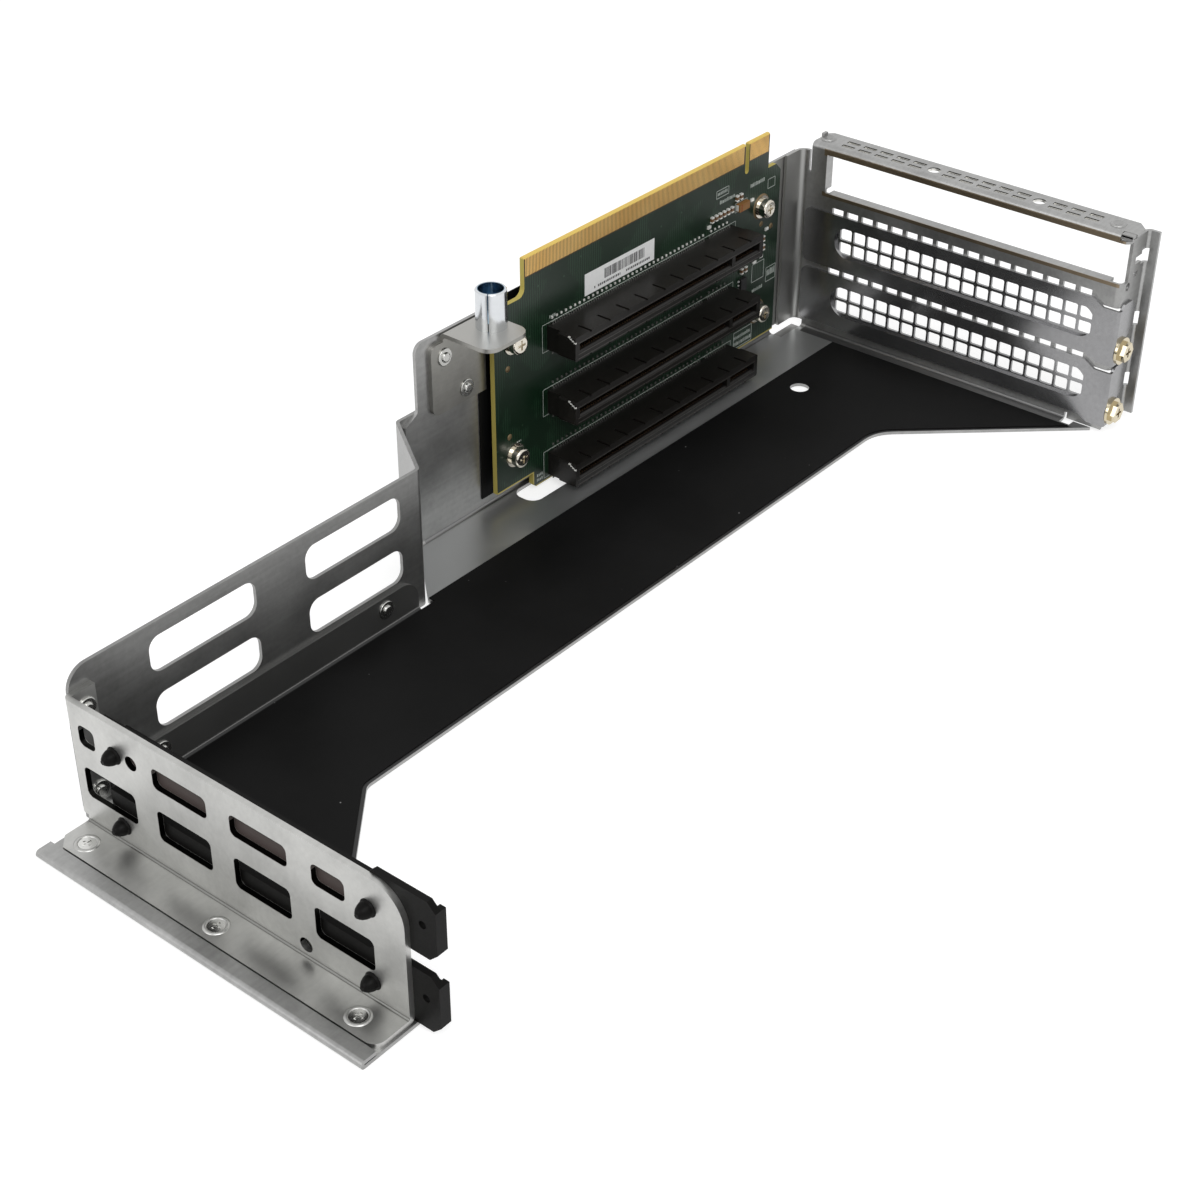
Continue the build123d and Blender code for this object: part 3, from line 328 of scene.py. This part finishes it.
def add_turned(name, profile, places, axis, material):
    """Round forms with the profile [(radius, height), ...], one at each centre, along an axis."""
    form = bmesh.new()
    steps = 40
    turn = Vector(axis).to_track_quat("Z", "Y")
    for centre in places:
        rings = []
        for radius, height in profile:
            ring = []
            for step in range(steps):
                angle = 2 * math.pi * step / steps
                point = Vector((radius * math.cos(angle), radius * math.sin(angle), height))
                ring.append(form.verts.new(Vector(centre) + turn @ point))
            rings.append(ring)
        for low, high in zip(rings, rings[1:]):
            for step in range(steps):
                after = (step + 1) % steps
                form.faces.new((low[step], low[after], high[after], high[step]))
        form.faces.new(rings[-1])
        form.faces.new(rings[0])
    return add_piece(name, form, material, smooth=True)


upwards = (0, 0, 1)
flange_screw_x = -5.9
flange_screw_rows = (43.3, 0.0, -43.3)
flange_top_z = 2.5
add_turned(
    "flange_screw_dimples",
    [(2.15, -0.3), (2.15, 0.04), (2.35, 0.2), (2.6, 0.16), (3.2, -0.02), (3.2, -0.3)],
    [(flange_screw_x, y, flange_top_z) for y in flange_screw_rows],
    upwards,
    bracket_zinc,
)
add_turned(
    "flange_screw_faces",
    [(1.15, 2.0), (1.15, 2.33), (0.9, 2.4), (0.2, 2.36)],
    [(flange_screw_x, y, 0) for y in flange_screw_rows],
    upwards,
    screw_steel,
)

# The card guides: black nylon mouldings clipped to the inside of the end wall by two barbed pins
# each. Satin, with the fine texture of the mould, and painted light makes them paler where they
# show through the upper windows.
moulded, given, result = start_group(
    "moulded plastic",
    {"Place": "Vector", "Colour": "Color", "Roughness": "Float"},
    {"Colour": "Color", "Roughness": "Float", "Height": "Float"},
)
mould_grain = add_noise(moulded, given["Place"], 2200.0, 3.0)
flow = add_noise(moulded, given["Place"], 120.0, 4.0)
flow_light = work_out(moulded, "MULTIPLY_ADD", flow, 0.7, 0.65)
flow_shade = work_out_vector(moulded, "SCALE", {0: given["Colour"], "Scale": flow_light})
mould_share = work_out(moulded, "ADD", mould_grain, -0.5)
mould_rough = work_out(moulded, "MULTIPLY_ADD", mould_share, 0.25, given["Roughness"])
moulded.links.new(flow_shade, result["Colour"])
moulded.links.new(mould_rough, result["Roughness"])
moulded.links.new(mould_grain, result["Height"])
mould_relief = 4e-6


def mould(name, colour, roughness, gloss=0.4):
    """A moulded plastic material."""
    settings = {"Colour": (*colour, 1), "Roughness": roughness}
    return cover_with(moulded, name, settings, mould_relief, Specular_IOR_Level=gloss)


guide_nylon = mould("guide nylon", (0.0035, 0.0033, 0.003), 0.42, gloss=0.09)
# Painted light on the upper guide where it shows through the upper windows.
seen_low = (0.00145, -0.0400, 0.0220)
seen_high = (0.00165, 0.0580, 0.0290)
tint(guide_nylon, "seen through the upper windows", seen_low, seen_high, (0.075, 0.060, 0.056))
for node in ("lower_card_guide", "upper_card_guide"):
    dress(node, guide_nylon, edge=0.0001)
card_planes = (6.1, 26.42, 46.74)
pin_rise = 1.5
add_turned(
    "guide_pin_barbs",
    [(1.9, -0.2), (2.0, 0.9), (1.85, 1.5), (1.5, 2.3), (1.0, 2.95), (0.4, 3.3)],
    [(0, y, z + pin_rise) for y in (36.2, -42.3) for z in card_planes[:2]],
    (-1, 0, 0),
    guide_nylon,
)

# The insulating film: a black sheet stuck to the floor under the cards, and a second sheet behind
# the riser board. Matte, with a little dust on it.
film_black, tree, shader = start_material("film black", Specular_IOR_Level=0.09)
place = own_position(tree)
haze = add_noise(tree, place, 30.0, 6.0)
haze_light = remap(tree, haze, (0.3, 0.75), (0.003, 0.007))
dust = add_node(tree, "ShaderNodeTexVoronoi", {"Vector": place, "Scale": 150.0})
speck_light = remap(tree, dust.outputs["Distance"], (0.015, 0.035), (0.35, 0.0))
film_light = work_out(tree, "ADD", haze_light, speck_light)
film_colour = add_node(
    tree,
    "ShaderNodeCombineColor",
    {"Red": film_light, "Green": film_light, "Blue": film_light},
)
tree.links.new(film_colour.outputs["Color"], shader.inputs["Base Color"])
film_rough = remap(tree, haze, (0.0, 1.0), (0.42, 0.6))
tree.links.new(film_rough, shader.inputs["Roughness"])
for node in ("floor_film", "board_backing"):
    dress(node, film_black)

# The riser board: glass-epoxy with green solder mask over its copper, yellowish bare edges, and a
# card edge along the top whose contacts are gold plated on both sides.
board_green, tree, shader = start_material("solder mask", Specular_IOR_Level=0.38)
place = own_position(tree)
height = add_node(tree, "ShaderNodeSeparateXYZ", {"Vector": place}).outputs["Z"]
cloud = add_noise(tree, place, 75.0, 3.0)
tracks = add_node(
    tree,
    "ShaderNodeTexWave",
    {"Vector": place, "Scale": 330.0, "Distortion": 0.6, "Detail": 1.0},
    bands_direction="X",
)
track_line = remap(tree, tracks.outputs["Fac"], (0.55, 0.75), (0.0, 1.0))
pour = remap(tree, cloud, (0.48, 0.52), (0.0, 1.0))
copper = work_out(tree, "MULTIPLY", track_line, pour)
board_colour = blend(tree, copper, (0.004, 0.016, 0.007), (0.013, 0.039, 0.019))
vias = add_node(tree, "ShaderNodeTexVoronoi", {"Vector": place, "Scale": 210.0})
via = remap(tree, vias.outputs["Distance"], (0.05, 0.08), (0.5, 0.0))
board_colour = blend(tree, via, board_colour, (0.06, 0.12, 0.07))
bare_top_z = 0.0683
bare_top = work_out(tree, "GREATER_THAN", height, bare_top_z)
board_colour = blend(tree, bare_top, board_colour, (0.07, 0.035, 0.01))
normal = add_node(tree, "ShaderNodeTexCoord").outputs["Normal"]
facing = add_node(tree, "ShaderNodeSeparateXYZ", {"Vector": normal}).outputs["Y"]
on_edge = work_out(tree, "LESS_THAN", work_out(tree, "ABSOLUTE", facing), 0.8)
bare_epoxy = (0.46, 0.38, 0.09)
board_colour = blend(tree, on_edge, board_colour, bare_epoxy)
top_edge_z = 0.0739
top_edge = work_out(tree, "GREATER_THAN", height, top_edge_z)
board_colour = blend(tree, top_edge, board_colour, (0.78, 0.56, 0.14))
tree.links.new(board_colour, shader.inputs["Base Color"])
board_rough = remap(tree, on_edge, (0.0, 1.0), (0.3, 0.6))
tree.links.new(board_rough, shader.inputs["Roughness"])
for low_x, high_x, low_z, high_z in (
    (0.1650, 0.1805, 0.0057, 0.0061),
    (0.1805, 0.1809, 0.0008, 0.0061),
    (0.1805, 0.2780, 0.0008, 0.0012),
    (0.2776, 0.2780, 0.0008, 0.0061),
    (0.2780, 0.2990, 0.0057, 0.0061),
):
    tint(board_green, "bare margin", (low_x, -1.0, low_z), (high_x, 1.0, high_z), bare_epoxy)
copper_relief = 1.5e-5
lay_bump(tree, shader, copper, copper_relief)
dress("riser_board", board_green)

speckled, given, result = start_group(
    "speckled",
    {"Place": "Vector", "Scale": "Float", "Detail": "Float", "Dark": "Color", "Light": "Color"},
    {"Colour": "Color", "Share": "Float"},
)
specks = add_noise(speckled, given["Place"], given["Scale"], given["Detail"])
speckled.links.new(blend(speckled, specks, given["Dark"], given["Light"]), result["Colour"])
speckled.links.new(specks, result["Share"])


def speckle(name, scale, detail, dark, light, **sockets):
    """A material in two tones of fine noise, and the share of the lighter one."""
    material, tree, shader = start_material(name, **sockets)
    surface = add_node(
        tree,
        "ShaderNodeGroup",
        {
            "Place": own_position(tree),
            "Scale": scale,
            "Detail": detail,
            "Dark": (*dark, 1),
            "Light": (*light, 1),
        },
        node_tree=speckled,
    )
    tree.links.new(surface.outputs["Colour"], shader.inputs["Base Color"])
    return material, surface.outputs["Share"]


gold_tones = ((0.90, 0.50, 0.13), (1.0, 0.72, 0.30))
gold_plate, rub = speckle("gold plate", 90.0, 5.0, *gold_tones, Metallic=1.0)
tree = gold_plate.node_tree
gold_rough = remap(tree, rub, (0.0, 1.0), (0.25, 0.45))
tree.links.new(gold_rough, tree.nodes["Principled BSDF"].inputs["Roughness"])


def add_blocks(name, spans, material):
    """One mesh of small blocks, each given by its lowest and highest corner in millimetres."""
    form = bmesh.new()
    for low, high in spans:
        middle = [(a + b) / 2 for a, b in zip(low, high)]
        size = [b - a for a, b in zip(low, high)]
        bmesh.ops.create_cube(
            form,
            size=1,
            matrix=Matrix.Translation(middle) @ Matrix.Diagonal((*size, 1)),
        )
    return add_piece(name, form, material)


board_front_y = 68.5
board_rear_y = 70.07
finger_pitch = 0.6
finger_count = 189
first_finger_x = 178.7
finger_half = 0.18
finger_rise = 0.03
finger_bottom_z = 68.6
finger_top_z = 73.9
edge_key_x = 280.9
edge_key_half = 1.5
fingers = []
for step in range(finger_count):
    x = first_finger_x + finger_pitch * step
    if abs(x - edge_key_x) > edge_key_half:
        for y in (board_front_y - finger_rise, board_rear_y):
            low = (x - finger_half, y, finger_bottom_z)
            fingers.append((low, (x + finger_half, y + finger_rise, finger_top_z)))
add_blocks("card_edge_contacts", fingers, gold_plate)

# Printing on the board: plain outlines and tick marks in white ink round the connectors and the
# small parts, with no words.
ink_tones = ((0.30, 0.34, 0.31), (0.62, 0.66, 0.62))
ink_white, _ = speckle("white ink", 900.0, 3.0, *ink_tones, Roughness=0.6)


def on_board(x0, z0, x1, z1, rise):
    """A block on the front of the board, by its sides and how far it stands out."""
    return (x0, board_front_y - rise, z0), (x1, board_front_y, z1)


ink_rise = 0.02


def ink_frame(x0, z0, x1, z1, line=0.2):
    """The four printed lines of a rectangle."""
    return [
        on_board(x0, z0, x1, z0 + line, ink_rise),
        on_board(x0, z1 - line, x1, z1, ink_rise),
        on_board(x0, z0, x0 + line, z1, ink_rise),
        on_board(x1 - line, z0, x1, z1, ink_rise),
    ]


prints = []
for card_z in card_planes:
    prints += ink_frame(185.2, card_z - 4.3, 276.2, card_z + 4.4, 0.16)
for outline in (
    (265.7, 61.5, 272.0, 64.1),
    (292.4, 56.0, 296.3, 59.2),
    (286.0, 26.5, 292.5, 32.7),
    (275.6, 53.7, 281.8, 56.9),
    (293.7, 24.0, 299.0, 29.0),
    (277.7, 6.4, 287.4, 12.2),
):
    prints += ink_frame(*outline)
marks = random.Random(7)
mark_gap = 0.3
for x0, x1, z, mark_height in (
    (266.4, 271.2, 62.4, 1.1),
    (267.6, 275.2, 59.3, 1.2),
    (283.3, 290.5, 59.4, 1.3),
    (293.7, 298.4, 26.0, 2.2),
    (286.6, 292.3, 23.0, 1.2),
    (277.8, 287.2, 7.4, 1.3),
    (277.9, 286.4, 9.6, 1.2),
    (290.2, 291.4, 36.4, 3.6),
    (182.2, 184.6, 2.1, 0.9),
    (182.2, 184.6, 3.6, 0.9),
    (173.0, 175.5, 18.8, 0.4),
    (188.4, 191.0, 52.2, 1.0),
):
    x = x0
    while x < x1:
        width = marks.uniform(0.25, 0.55)
        top_z = z + mark_height * marks.uniform(0.75, 1.0)
        prints.append(on_board(x, z, min(x + width, x1), top_z, ink_rise))
        x += width + mark_gap
add_blocks("board_printing", prints, ink_white)

# Solder of the connectors: tinned tails along both sides of each one, with a row of beads beyond
# them that is painted lit above the upper connector and painted in shade everywhere else.
tin = plate("solder tin", (0.66, 0.66, 0.63), 0.3, 0.2, 0.3)
first_tail_x = 189.4
tail_pitch = 1.0
tail_count = 82
tails_before_key = 71
key_gap = 2.0
tail_half = 0.2
tail_rise = 0.55
bead_half = 0.3
bead_offset = 5.5
lit_above_z = 50
tails = []
beads = []
shaded_beads = []
for card_z in card_planes:
    for side in (-1, 1):
        low_z, high_z = sorted((card_z + side * 3.6, card_z + side * 4.25))
        bead_z = card_z + side * bead_offset
        row = beads if bead_z > lit_above_z else shaded_beads
        for step in range(tail_count):
            x = first_tail_x + step * tail_pitch + (key_gap if step >= tails_before_key else 0.0)
            tails.append(on_board(x - tail_half, low_z, x + tail_half, high_z, tail_rise))
            if step % 2 == 0:
                low_x, high_x = x - bead_half, x + bead_half
                row.append(
                    on_board(low_x, bead_z - bead_half, high_x, bead_z + bead_half, bead_half)
                )
add_blocks("connector_tails", tails, tin)
bright_tin = plate("bright tin", (0.92, 0.92, 0.88), 0.3, 0.2, 0.4, metallic=0.35)
# The beads above the upper connector are painted lit.
add_blocks("solder_beads", beads, bright_tin)
# The other beads are painted in shade, in a darker copy of the tin.
shaded_tin = plate("shaded tin", (0.16, 0.16, 0.15), 0.5, 0.3, 0.4, metallic=0.35)
add_blocks("shaded_solder_beads", shaded_beads, shaded_tin)

# Small parts soldered to the board: brown ceramic capacitors, a moulded tantalum capacitor, a chip
# and a few bright resistors, with tinned ends and legs, and bare copper pads for testing and under
# the screws.
capacitor_places = [(263.5 + 2 * step, 55.84) for step in range(6)]
capacitor_places += [(276.0, 58.64), (278.0, 58.64), (280.0, 33.02), (282.0, 33.02)]
capacitor_places += [(290.8, 40.22), (291.0, 37.22)]
capacitor_half = 0.55
capacitor_rise = 0.84
tantalum_x = 278.7
tantalum_rise = 0.9
chip_x = 280.6
chip_z = 28.42
leg_pitch = 1.3
leg_half = 0.2
leg_rise = 0.4
resistor_places = ((286.8, 33.6), (290.2, 34.4), (262.2, 53.9), (284.0, 55.4), (292.6, 42.8))
resistor_rise = 0.5
ends = []
for x, z in capacitor_places:
    for side in (-1, 1):
        low_z, high_z = sorted((z + side * 0.5, z + side * 0.93))
        ends.append(
            on_board(x - capacitor_half, low_z, x + capacitor_half, high_z, capacitor_rise)
        )
for side in (-1, 1):
    low_x, high_x = sorted((tantalum_x + side * 1.9, tantalum_x + side * 2.6))
    ends.append(on_board(low_x, 54.4, high_x, 56.3, tantalum_rise))
    low_x, high_x = sorted((chip_x + side * 1.4, chip_x + side * 2.1))
    for step in (-1, 0, 1):
        leg_z = chip_z + step * leg_pitch
        ends.append(on_board(low_x, leg_z - leg_half, high_x, leg_z + leg_half, leg_rise))
for x, z in resistor_places:
    ends.append(on_board(x - 0.8, z - 0.45, x + 0.8, z + 0.45, resistor_rise))
add_blocks("soldered_ends", ends, bright_tin)

copper_bare = plate("bare copper", (0.20, 0.14, 0.07), 0.5, 0.3, 0.45, metallic=0.4)
outwards = (0, -1, 0)
test_places = ((170.5, 43.6), (170.7, 22.0), (289.9, 45.3), (295.2, 42.8))
screw_places = ((289.4, 15.6), (289.4, 51.3))
for name, profile, places in (
    ("test_pads", [(0.95, -0.1), (0.95, 0.02), (0.2, 0.03)], test_places),
    ("screw_pads", [(4.1, -0.1), (4.1, 0.02), (3.0, 0.02)], screw_places),
):
    centres = [(x, board_front_y, z) for x, z in places]
    add_turned(name, profile, centres, outwards, copper_bare)

ceramic_tones = ((0.10, 0.05, 0.02), (0.24, 0.13, 0.06))
ceramic, _ = speckle("capacitor ceramic", 1400.0, 3.0, *ceramic_tones, Roughness=0.4)
dress("board_capacitors", ceramic)
dress("board_chip", mould("chip resin", (0.016, 0.016, 0.017), 0.5), edge=0.00006)
dress("board_tantalum", mould("tantalum resin", (0.26, 0.12, 0.03), 0.4), edge=0.0001)
stripe = [((276.8, board_front_y - 1.52, 54.15), (277.5, board_front_y - 1.5, 56.5))]
stripe_ink = mould("stripe ink", (0.25, 0.07, 0.01), 0.5)
add_blocks("tantalum_stripe", stripe, stripe_ink)

# The label: white gloss paper, cut square and stuck on the board. It is printed in black with plain
# bars only: a row of tall ones, with a row of short ones below it.
paper_tones = ((0.76, 0.77, 0.77), (0.92, 0.92, 0.91))
label_paper, _ = speckle("label paper", 700.0, 4.0, *paper_tones, Roughness=0.45)
dress("board_label", label_paper)
black_tones = ((0.012, 0.012, 0.013), (0.05, 0.05, 0.05))
ink_black, _ = speckle("black ink", 1500.0, 2.0, *black_tones, Roughness=0.5)
label_front_y = board_front_y - 0.1
label_ink_y = label_front_y - 0.01
code_left_x, code_right_x = 212.6, 231.0
line_left_x, line_right_x = 208.0, 233.0
bars = []
x = code_left_x
while x < code_right_x:
    width = marks.choice((0.22, 0.22, 0.44))
    bars.append(((x, label_ink_y, 55.6), (x + width, label_front_y, 58.6)))
    x += width + marks.choice((0.16, 0.16, 0.32))
x = line_left_x
while x < line_right_x:
    width = marks.uniform(0.3, 0.7)
    if marks.random() > 0.12:
        bars.append(((x, label_ink_y, 54.1), (x + width, label_front_y, 54.8)))
    x += width + mark_gap
add_blocks("label_bars", bars, ink_black)

# The slot connectors: black glass-filled plastic soldered to the board, with two rows of sprung
# contacts inside each slot in painted shade, thin raised bars along its mouth in lighter resin as
# painted highlights, and painted glints stepped along each end's corner.
connector_resin = mould("connector resin", (0.009, 0.008, 0.007), 0.36, gloss=0.26)
for node in ("lower_slot_connector", "middle_slot_connector", "upper_slot_connector"):
    dress(node, connector_resin, edge=0.00008)
first_contact_x = 188.9
contact_pitch = 1.0
contact_count = 84
slot_key_x = 260.2
slot_key_half = 1.3
contacts = []
glints = []
rib_highlights = []
for card_z in card_planes:
    for step in range(contact_count):
        x = first_contact_x + step * contact_pitch
        if abs(x - slot_key_x) > slot_key_half:
            for side in (-1, 1):
                low_z, high_z = sorted((card_z + side * 0.72, card_z + side * 0.96))
                contacts.append(((x - 0.25, 58.6, low_z), (x + 0.25, 65.2, high_z)))
    # Painted highlights: four small glints stepped down each end's corner.
    for step in range(4):
        near_y = 59.9 - 0.7 * step
        top_z = card_z + 3.6 - 0.4 * step
        glints.append(((186.1, near_y - 0.7, top_z - 0.4), (186.5, near_y, top_z)))
    # Painted highlights: thin raised bars of lighter resin along the slot's mouth.
    for rise in (-3.1, -1.75, 1.75):
        rib_highlights.append(((187.4, 57.22, card_z + rise - 0.1), (274.0, 57.27, card_z + rise + 0.1)))
# Gold darkened as painted shade inside the slots.
shaded_gold = plate("shaded contact gold", (0.16, 0.10, 0.05), 0.4, 0.2, 0.4)
add_blocks("slot_contacts", contacts, shaded_gold)
add_blocks("connector_corner_glints", glints, bright_tin)
rib_highlight_resin = mould("rib highlight resin", (0.055, 0.052, 0.047), 0.3)
add_blocks("connector_rib_highlights", rib_highlights, rib_highlight_resin)

# The fixings: pan-head screws with flat and spring washers on standoffs pressed into the board
# wall, and the rivets that join the sheets. All are bright plated steel.
nickel = plate("nickel", (0.68, 0.64, 0.56), 0.25, 0.1, 0.13)
for node in ("board_screws", "board_washers", "board_spring_washers", "board_standoffs"):
    dress(node, nickel, edge=0.00006)
bright_plate = plate("bright plate", (0.52, 0.52, 0.50), 0.3, 0.1, 0.2)
for node in ("lip_rivets", "end_tab_rivets", "hold_down_rivets"):
    dress(node, bright_plate, edge=0.00006)

# The guide sleeve: rolled from bright zinc-plated strip, with an open seam down one side, and
# riveted over the hold-down bracket. Its bore looks bluish.
sleeve_zinc = plate("sleeve zinc", (0.66, 0.68, 0.70), 0.25, 0.1, 0.2)
sleeve_axis = (0.1596, 0.0642, 0.0)
bore_reach = 0.0037
tree = sleeve_zinc.node_tree
base_colour = tree.nodes["Principled BSDF"].inputs["Base Color"]
flat_place = work_out_vector(tree, "MULTIPLY", {0: own_position(tree), 1: (1.0, 1.0, 0.0)})
from_axis = add_node(
    tree,
    "ShaderNodeVectorMath",
    {0: flat_place, 1: sleeve_axis},
    operation="DISTANCE",
)
in_bore = work_out(tree, "LESS_THAN", from_axis.outputs["Value"], bore_reach)
sleeve_colour = blend(tree, in_bore, base_colour.links[0].from_socket, (0.30, 0.43, 0.54))
tree.links.new(sleeve_colour, base_colour)
dress("guide_sleeve", sleeve_zinc, edge=0.00008)

# The slot covers: thin plated sheet pressed with a vented field, each held at its tab by a
# washer-head screw plated yellow.
cover_zinc = plate("cover zinc", (0.30, 0.30, 0.305), 0.5, 0.2, 0.22, metallic=0.92)
for node in ("lower_slot_cover", "middle_slot_cover"):
    dress(node, cover_zinc, edge=0.00012)
yellow_zinc = plate("yellow zinc", (0.60, 0.53, 0.38), 0.3, 0.1, 0.14)
dress("cover_screws", yellow_zinc, edge=0.00008)

# Details of the cage's sheet: two dimples pressed up in the rear panel's top flange, a nib on it,
# and narrow tabs where two folds meet, which nearly close the relief cuts beside the board wall
# and at both ends of the end flange.
cage_zinc = plate("cage zinc", (0.34, 0.34, 0.335), 0.6, 0.24, 0.34, metallic=sheet_metallic)
add_turned(
    "top_flange_dimples",
    [(2.5, -0.2), (2.5, 0.0), (2.2, 0.4), (1.7, 0.45), (1.2, 0.1), (0.4, 0.03)],
    [(320.2, 65.3, 64.6), (320.3, -35.4, 64.6)],
    upwards,
    cage_zinc,
)
lap_foot_tab = ((303.6, 67.6, 0.02), (313.6, 70.8, 0.98))
end_flange_foot_tab = ((315.02, -41.8, 1.02), (315.98, -30.4, 3.2))
end_flange_top_tab = ((315.05, -42.9, 62.9), (315.95, -39.35, 64.2))
top_flange_end_tab = ((315.05, -43.0, 63.7), (317.25, -39.3, 64.5))
top_flange_nib = ((319.6, 66.6, 64.4), (321.6, 67.6, 66.0))
corner_tabs = [
    lap_foot_tab,
    end_flange_foot_tab,
    end_flange_top_tab,
    top_flange_end_tab,
    top_flange_nib,
]
add_blocks("corner_tabs", corner_tabs, cage_zinc)

# The stand: a wide white floor that keeps the part's shadow, under even studio light, with one
# camera at the photo's place.


def seen_by_camera(tree):
    """One where the camera sees a thing straight, in a reflection or through glass."""
    ray = add_node(tree, "ShaderNodeLightPath").outputs
    direct = work_out(tree, "MAXIMUM", ray["Is Camera Ray"], ray["Is Glossy Ray"])
    return work_out(tree, "MAXIMUM", direct, ray["Is Transmission Ray"])


ambient_light = 0.68
floor_white, tree, shader = start_material(
    "studio floor",
    Roughness=0.9,
    Base_Color=(0.5, 0.5, 0.5, 1),
    Specular_IOR_Level=0.0,
    Emission_Color=(1, 1, 1, 1),
)
glow = work_out(tree, "MULTIPLY", seen_by_camera(tree), ambient_light)
tree.links.new(glow, shader.inputs["Emission Strength"])
floor_form = bmesh.new()
bmesh.ops.create_grid(floor_form, x_segments=1, y_segments=1, size=4.0)
floor_mesh = bpy.data.meshes.new("studio_floor")
floor_form.to_mesh(floor_mesh)
floor_form.free()
floor_mesh.materials.append(floor_white)
floor = bpy.data.objects.new("studio_floor", floor_mesh)
floor.location = (0.15, 0, -0.0002)
bpy.context.scene.collection.objects.link(floor)

world = bpy.data.worlds.new("studio")
bpy.context.scene.world = world
world.use_nodes = True
tree = world.node_tree
tree.nodes.clear()
white = (1, 1, 1, 1)
ambient = add_node(tree, "ShaderNodeBackground", {"Color": white, "Strength": ambient_light})
backdrop = add_node(tree, "ShaderNodeBackground", {"Color": white, "Strength": 1.0})
choice = add_node(
    tree,
    "ShaderNodeMixShader",
    {"Fac": seen_by_camera(tree), 1: ambient.outputs[0], 2: backdrop.outputs[0]},
)
add_node(tree, "ShaderNodeOutputWorld", {"Surface": choice.outputs[0]})

for name, place, aim, size, power in (
    ("key_light", (-0.5, -0.9, 1.3), (0.15, 0.0, 0.0), 0.9, 9.0),
    ("fill_light", (-1.2, 0.3, 0.7), (0.1, 0.0, 0.03), 0.8, 4.0),
):
    lamp_data = bpy.data.lights.new(name, "AREA")
    lamp_data.size = size
    lamp_data.energy = power
    lamp = bpy.data.objects.new(name, lamp_data)
    lamp.location = place
    lamp.rotation_euler = (Vector(aim) - Vector(place)).to_track_quat("-Z", "Y").to_euler()
    bpy.context.scene.collection.objects.link(lamp)

camera_down = 34.60
camera_turn = -50.45
camera_data = bpy.data.cameras.new("camera")
camera_data.lens = 65.34
camera_data.sensor_width = 36
camera_data.shift_x = 0.0149
camera_data.shift_y = 0.0153
camera_data.clip_start = 0.01
camera = bpy.data.objects.new("camera", camera_data)
camera.location = (-0.2278, -0.2870, 0.3282)
camera.rotation_euler = (math.radians(90 - camera_down), 0, math.radians(camera_turn))
bpy.context.scene.collection.objects.link(camera)
bpy.context.scene.camera = camera
bpy.context.scene.view_settings.view_transform = "Standard"
